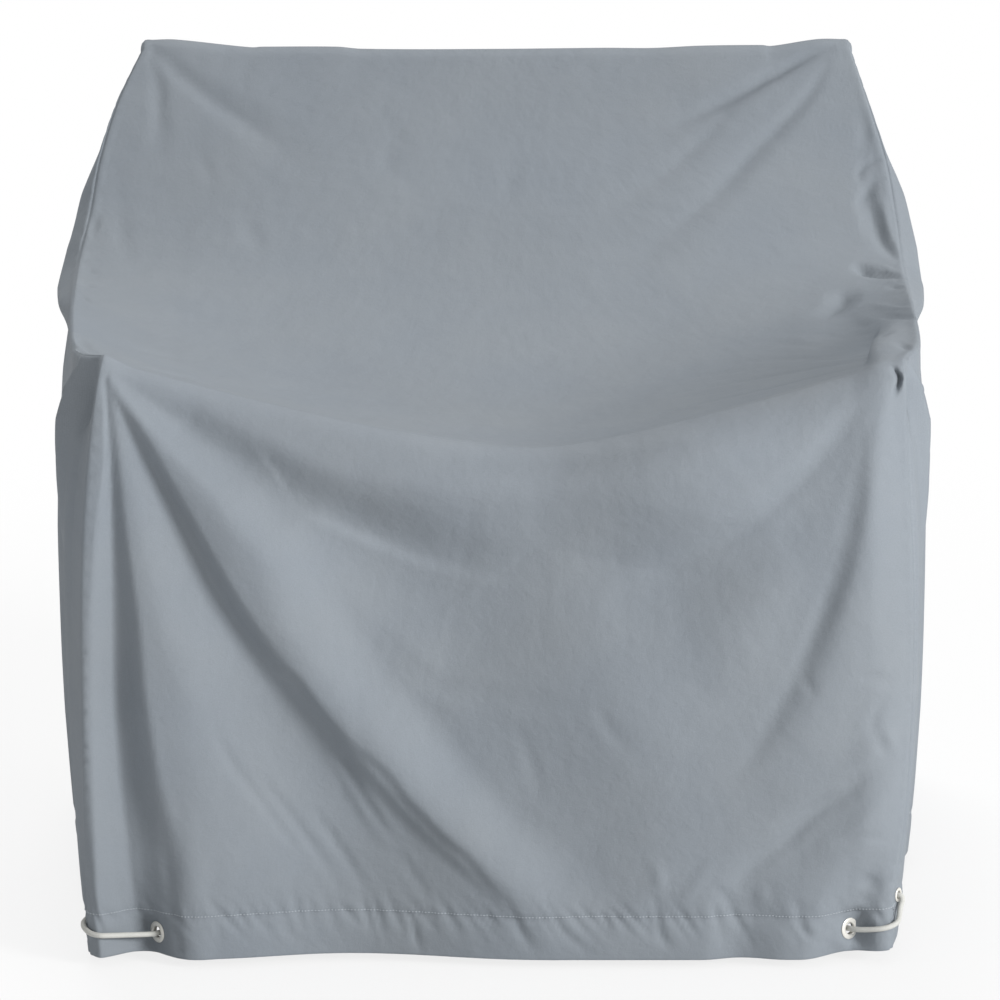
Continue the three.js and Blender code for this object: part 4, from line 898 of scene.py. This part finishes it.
def turned_hem(rows, shares, outward):
    """Rows of the turned-up edge inside the cloth, from its raw edge down to the bottom fold."""
    normals = grid_normals(rows) * outward
    inside = [row_at(shares, share) for share in HEM_INSIDE]
    bend = [rows[0] - inward * CLOTH * normals[0] - down * UP for inward, down in HEM_FOLD]
    return np.stack([rows[i] - CLOTH * normals[i] for i in inside] + bend)


def make_sheet(name, rows, material, flipped=False):
    """A sheet of cloth from a grid of places, with the eyelets' holes and its flat lengths as UV."""
    count, across = rows.shape[:2]
    i, j = np.meshgrid(np.arange(count - 1), np.arange(across - 1), indexing="ij")
    a = (i * across + j).ravel()
    faces = np.column_stack([a, a + 1, a + 1 + across, a + across])
    if flipped:
        faces = faces[:, ::-1]
    places = rows.reshape(-1, 3)
    faces = faces[~in_eyelet_holes(places[faces].mean(axis=1))]
    piece = make_object(name, to_frame(places), faces, material)
    u, v = run_length(rows[count // 3]), run_length(rows[:, across // 2])
    flat = np.stack(np.meshgrid(u, v), -1).reshape(-1, 2) * MILLIMETRE
    layer = piece.data.uv_layers.new(name="flat")
    layer.data.foreach_set("uv", flat[faces.ravel()].ravel())
    return piece


# Eyelets: a rolled flange in front of the cloth, a barrel through it and a washer behind.
EYELET_TURNS = 64


def eyelet_profile(flange, barrel, bore):
    """The section as radius and height over the cloth, from the washer through the bore and back."""
    lip = [(bore + 0.25, 0.75), (bore + 0.75, 1.25), (bore + 1.4, 1.45)]
    rim = [(flange - 1.3, 1.2), (flange - 0.45, 0.85), (flange, 0.5), (flange - 0.15, 0.32)]
    back = [(barrel, 0.3), (barrel, -2.3), (flange - 1.7, -2.3), (flange - 1.5, -2.5), (flange - 1.7, -3.1)]
    return [(bore + 0.1, -3.1), (bore, -2.8), (bore, 0.2)] + lip + rim + back


def make_eyelet(eyelet, material):
    profile = np.array(eyelet_profile(eyelet["flange"], eyelet["barrel"], eyelet["bore"]))
    radius, out = profile.T[:, :, None, None]
    facing = eyelet["facing"]
    side = unit(np.cross(facing, UP))
    angles = np.linspace(0, 2 * math.pi, EYELET_TURNS, endpoint=False)[:, None]
    around = np.cos(angles) * side + np.sin(angles) * np.cross(side, facing)
    vertices = (eyelet["place"] + radius * around + out * facing).reshape(-1, 3)
    faces = np.array(tube_faces(len(profile) + 1, EYELET_TURNS)) % len(vertices)
    piece = make_object(eyelet["name"] + "_metal", to_frame(vertices), faces[:, [0, 3, 2, 1]], material)
    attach(piece, "root")
    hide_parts(eyelet["name"])


# Stitches of the hem.
STITCH_PITCH, STITCH_LENGTH, STITCH_RADIUS, STITCH_PROUD = 3.4, 1.9, 0.5, 0.15
STITCH_SIDES = 6
STITCH_BODY = ((-1, 0.2), (-0.75, 0.85), (0, 1), (0.75, 0.85), (1, 0.2))


def stitch_line(line, normals, vertices, faces):
    """Stitches end to end along a line on the cloth."""
    along = run_length(line)
    parts, full = np.array(STITCH_BODY).T
    angles = 2 * math.pi * np.arange(STITCH_SIDES)[:, None] / STITCH_SIDES
    for middle_at in np.arange(STITCH_PITCH / 2, along[-1], STITCH_PITCH):
        places = middle_at + STITCH_LENGTH / 2 * parts
        if places[0] < 0 or places[-1] > along[-1]:
            continue
        centre = read_rows(places, along, line)
        if any(np.linalg.norm(centre[2] - e["place"]) < e["flange"] + FLAT_MARGIN for e in eyelets):
            continue
        normal = unit(read_rows([middle_at], along, normals)[0])
        side = unit(np.cross(centre[-1] - centre[0], normal))
        reach = STITCH_RADIUS * full[:, None, None]
        out = STITCH_PROUD + reach * np.sin(angles) - (STITCH_RADIUS - reach)
        first = len(vertices)
        vertices.extend((centre[:, None] + reach * np.cos(angles) * side + out * normal).reshape(-1, 3))
        faces.extend(tube_faces(len(full), STITCH_SIDES, first))
        faces.append(range(first, first + STITCH_SIDES)[::-1])
        faces.append(range(len(vertices) - STITCH_SIDES, len(vertices)))


# Materials: a node's inputs are constants, set on its sockets, or other nodes' outputs.
def fill(tree, made, inputs):
    for key, value in inputs.items():
        if isinstance(value, bpy.types.NodeSocket):
            tree.links.new(value, made.inputs[key])
        else:
            made.inputs[key].default_value = value


def add(tree, kind, output, inputs, **settings):
    """Adds a node and gives back the named output of it."""
    made = tree.nodes.new("ShaderNode" + kind)
    for key, value in settings.items():
        setattr(made, key, value)
    fill(tree, made, inputs)
    return made.outputs[output]


def noise(tree, place, scale, detail, roughness=0.5):
    inputs = {"Vector": place, "Scale": scale, "Detail": detail, "Roughness": roughness}
    return add(tree, "TexNoise", "Fac", inputs)


def ramp(tree, source, low, high):
    return add(tree, "MapRange", "Result", {"Value": source, "To Min": low, "To Max": high})


def mix(tree, factor, a, b, **settings):
    inputs = {"Factor": factor, "A": a, "B": b}
    return add(tree, "Mix", "Result", inputs, data_type="RGBA", **settings)


def combine(tree, operation, a, b):
    return add(tree, "Math", "Value", {0: a, 1: b}, operation=operation)


def bump(tree, height, distance, strength, under=None):
    inputs = {"Height": height, "Distance": distance, "Strength": strength}
    if under is not None:
        inputs["Normal"] = under
    return add(tree, "Bump", "Normal", inputs)


def new_material(name):
    material = bpy.data.materials.new(name)
    material.use_nodes = True
    tree = material.node_tree
    place = add(tree, "TexCoord", "Object", {})
    return material, tree, tree.nodes["Principled BSDF"], place


# Each noise has its scale and detail, and some have a roughness.
CRUMPLE, SOFT, BROAD, WARMTH = (55, 5, 0.62), (14, 4, 0.55), (4, 3), (7, 3)
SPECK, GRAIN, CLOUD = (900, 2), (900, 3), (2, 2)
FIBRE_DETAIL = 4
WEAVE_SCALE, WEAVE_WAVER = 330, 0.6
CLOTH_COLOURS = (0.232, 0.262, 0.297, 1), (0.246, 0.268, 0.288, 1)
METAL_COLOURS = (0.74, 0.72, 0.66, 1), (0.86, 0.84, 0.79, 1)
CORD_COLOURS = (0.42, 0.42, 0.4, 1), (0.66, 0.66, 0.62, 1)
THREAD_COLOURS = (0.34, 0.37, 0.41, 1), (0.5, 0.54, 0.58, 1)
FLOOR_COLOURS = (0.8, 0.8, 0.8, 1), (0.83, 0.83, 0.83, 1)


def cloth_material():
    """Coated cloth: a fine weave and specks, with soft crumples and broad changes of shade."""
    material, tree, shader, place = new_material("coated_cloth")
    flat = add(tree, "UVMap", "UV", {}, uv_map="flat")
    threads = []
    for turn in (0, QUARTER_TURN):
        turned = {"Vector": flat, "Angle": turn}
        turned = add(tree, "VectorRotate", "Vector", turned, rotation_type="Z_AXIS")
        wave = {"Vector": turned, "Scale": WEAVE_SCALE, "Distortion": WEAVE_WAVER, "Detail": 1}
        threads.append(add(tree, "TexWave", "Fac", wave, wave_type="BANDS", bands_direction="X"))
    weave = combine(tree, "MULTIPLY", *threads)
    crumple, soft, broad = (noise(tree, place, *form) for form in (CRUMPLE, SOFT, BROAD))
    speck = noise(tree, flat, *SPECK)
    broad_shade = combine(tree, "ADD", ramp(tree, broad, 0.94, 1.06), ramp(tree, soft, -0.05, 0.05))
    fine_shade = combine(tree, "ADD", ramp(tree, speck, -0.11, 0.11), ramp(tree, weave, -0.05, 0.05))
    shade = combine(tree, "ADD", broad_shade, fine_shade)
    normal = None
    for height, distance, strength in (
        (soft, 0.006, 0.45), (crumple, 0.002, 0.5), (weave, 0.0003, 0.4), (speck, 0.0003, 0.4),
    ):
        normal = bump(tree, height, distance, strength, normal)
    colour = mix(tree, noise(tree, place, *WARMTH), *CLOTH_COLOURS)
    fill(tree, shader, {
        "Base Color": mix(tree, 1, colour, shade, blend_type="MULTIPLY"),
        "Roughness": ramp(tree, speck, 0.62, 0.8),
        "Specular IOR Level": 0.12,
        "Sheen Weight": 0.03,
        "Sheen Roughness": 0.5,
        "Normal": normal,
    })
    return material


def metal_material():
    material, tree, shader, place = new_material("eyelet_metal")
    grain = noise(tree, place, *GRAIN)
    fill(tree, shader, {
        "Base Color": mix(tree, grain, *METAL_COLOURS),
        "Roughness": ramp(tree, grain, 0.24, 0.42),
        "Metallic": 0.35,
        "Normal": bump(tree, grain, 0.0002, 0.15),
    })
    return material


def thread_material(name, colours, scale, roughness):
    material, tree, shader, place = new_material(name)
    fibre = noise(tree, place, scale, FIBRE_DETAIL)
    fill(tree, shader, {
        "Base Color": mix(tree, fibre, *colours),
        "Roughness": roughness,
        "Normal": bump(tree, fibre, 0.0002, 0.4),
    })
    return material


# Studio
LAMPS = {
    "key": {"from": (0.8, -0.64, 0.34), "distance": 9.0, "size": 3.0, "power": 750},
    "top": {"from": (-0.1, 0.45, 0.86), "distance": 9.0, "size": 3.6, "power": 370},
}
LAMPS_AIM = (0, 0, 350)
AMBIENT, BACKGROUND = 0.48, 1.0
FLOOR_DROP, FLOOR_SIZE = 0.006, 14.0
FLOOR_SEEN, FLOOR_FADE = 0.18, (1.1, 2.2)


def floor_material():
    """A pale floor that fades into the white background away from the cover."""
    material, tree, shader, place = new_material("floor")
    colour = mix(tree, noise(tree, place, *CLOUD), *FLOOR_COLOURS)
    fill(tree, shader, {"Base Color": colour, "Roughness": 0.9})
    fade = {
        "Value": add(tree, "VectorMath", "Value", {0: place}, operation="LENGTH"),
        "From Min": FLOOR_FADE[0], "From Max": FLOOR_FADE[1], "To Min": FLOOR_SEEN, "To Max": 0,
    }
    fade = add(tree, "MapRange", "Result", fade, interpolation_type="SMOOTHSTEP")
    seen = add(tree, "LightPath", "Is Camera Ray", {})
    share = add(tree, "Mix", "Result", {"Factor": seen, "A": 1, "B": fade}, data_type="FLOAT")
    clear = add(tree, "BsdfTransparent", "BSDF", {})
    blend = {"Fac": share, 1: clear, 2: shader.outputs["BSDF"]}
    surface = add(tree, "MixShader", "Shader", blend)
    fill(tree, tree.nodes["Material Output"], {"Surface": surface})
    return material


def make_world():
    """Even light from all round, and a white background for the camera."""
    world = bpy.data.worlds.new("studio")
    world.use_nodes = True
    tree = world.node_tree
    tree.nodes.clear()
    dim, bright = (
        add(tree, "Background", "Background", {"Color": (1, 1, 1, 1), "Strength": strength})
        for strength in (AMBIENT, BACKGROUND)
    )
    seen = add(tree, "LightPath", "Is Camera Ray", {})
    blend = add(tree, "MixShader", "Shader", {"Fac": seen, 1: dim, 2: bright})
    fill(tree, tree.nodes.new("ShaderNodeOutputWorld"), {"Surface": blend})
    bpy.context.scene.world = world
    bpy.context.scene.view_settings.view_transform = "Standard"


def make_studio():
    ground = float(to_frame((0, 0, 0))[2]) - FLOOR_DROP
    corners = [(FLOOR_SIZE * x, FLOOR_SIZE * y, ground) for x, y in ((-1, -1), (1, -1), (1, 1), (-1, 1))]
    floor = make_object("floor", corners, [(0, 1, 2, 3)], floor_material(), rounded=False)
    for name, lamp in LAMPS.items():
        way = Vector(lamp["from"]).normalized()
        data = bpy.data.lights.new(name, "AREA")
        data.shape = "DISK"
        data.size = lamp["size"]
        data.energy = lamp["power"]
        aim(put_in_scene(name, data), Vector(to_frame(LAMPS_AIM)) + lamp["distance"] * way, -way)
    make_world()


def declare_sheet(piece, node_name):
    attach(piece, "root")
    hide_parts(node_name)


make_camera()
cord_cloth = thread_material("cord_braid", CORD_COLOURS, scale=1400, roughness=0.85)
for cord_name in CORDS:
    make_cord(cord_name, cord_cloth)

cloth = cloth_material()
strip_base = make_strip()
strip, sides = sew(strip_base, {side: make_side(strip_base, side) for side in SIDES})

stitch_vertices, stitch_faces = [], []
hem_row = row_at(UP_FRONT, HEM_SHARE)
rear_hem_row = len(strip) - 1 - row_at(UP_REAR, HEM_SHARE)
strip_normals = grid_normals(strip)
for row in (hem_row, rear_hem_row):
    stitch_line(strip[row], strip_normals[row], stitch_vertices, stitch_faces)
for side, (sign, _) in SIDES.items():
    side_normals = grid_normals(sides[side]) * sign
    stitch_line(sides[side][hem_row], side_normals[hem_row], stitch_vertices, stitch_faces)

rear_hem = turned_hem(strip[::-1], UP_REAR, -1)[::-1]
strip_rows = np.concatenate([turned_hem(strip, UP_FRONT, 1), strip, rear_hem])
main_cloth = make_sheet("main_cloth", strip_rows, cloth)
declare_sheet(main_cloth, "main_panel")
for side, (sign, _) in SIDES.items():
    side_rows = np.concatenate([turned_hem(sides[side], UP_FRONT, sign), sides[side]])
    piece = make_sheet(side + "_side_cloth", side_rows, cloth, flipped=side == "left")
    declare_sheet(piece, side + "_side_panel")

thread = thread_material("sewing_thread", THREAD_COLOURS, scale=2000, roughness=0.7)
stitches = make_object("hem_stitches", to_frame(stitch_vertices), stitch_faces, thread)
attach(stitches, "root")

metal = metal_material()
for each_eyelet in eyelets:
    make_eyelet(each_eyelet, metal)

make_studio()
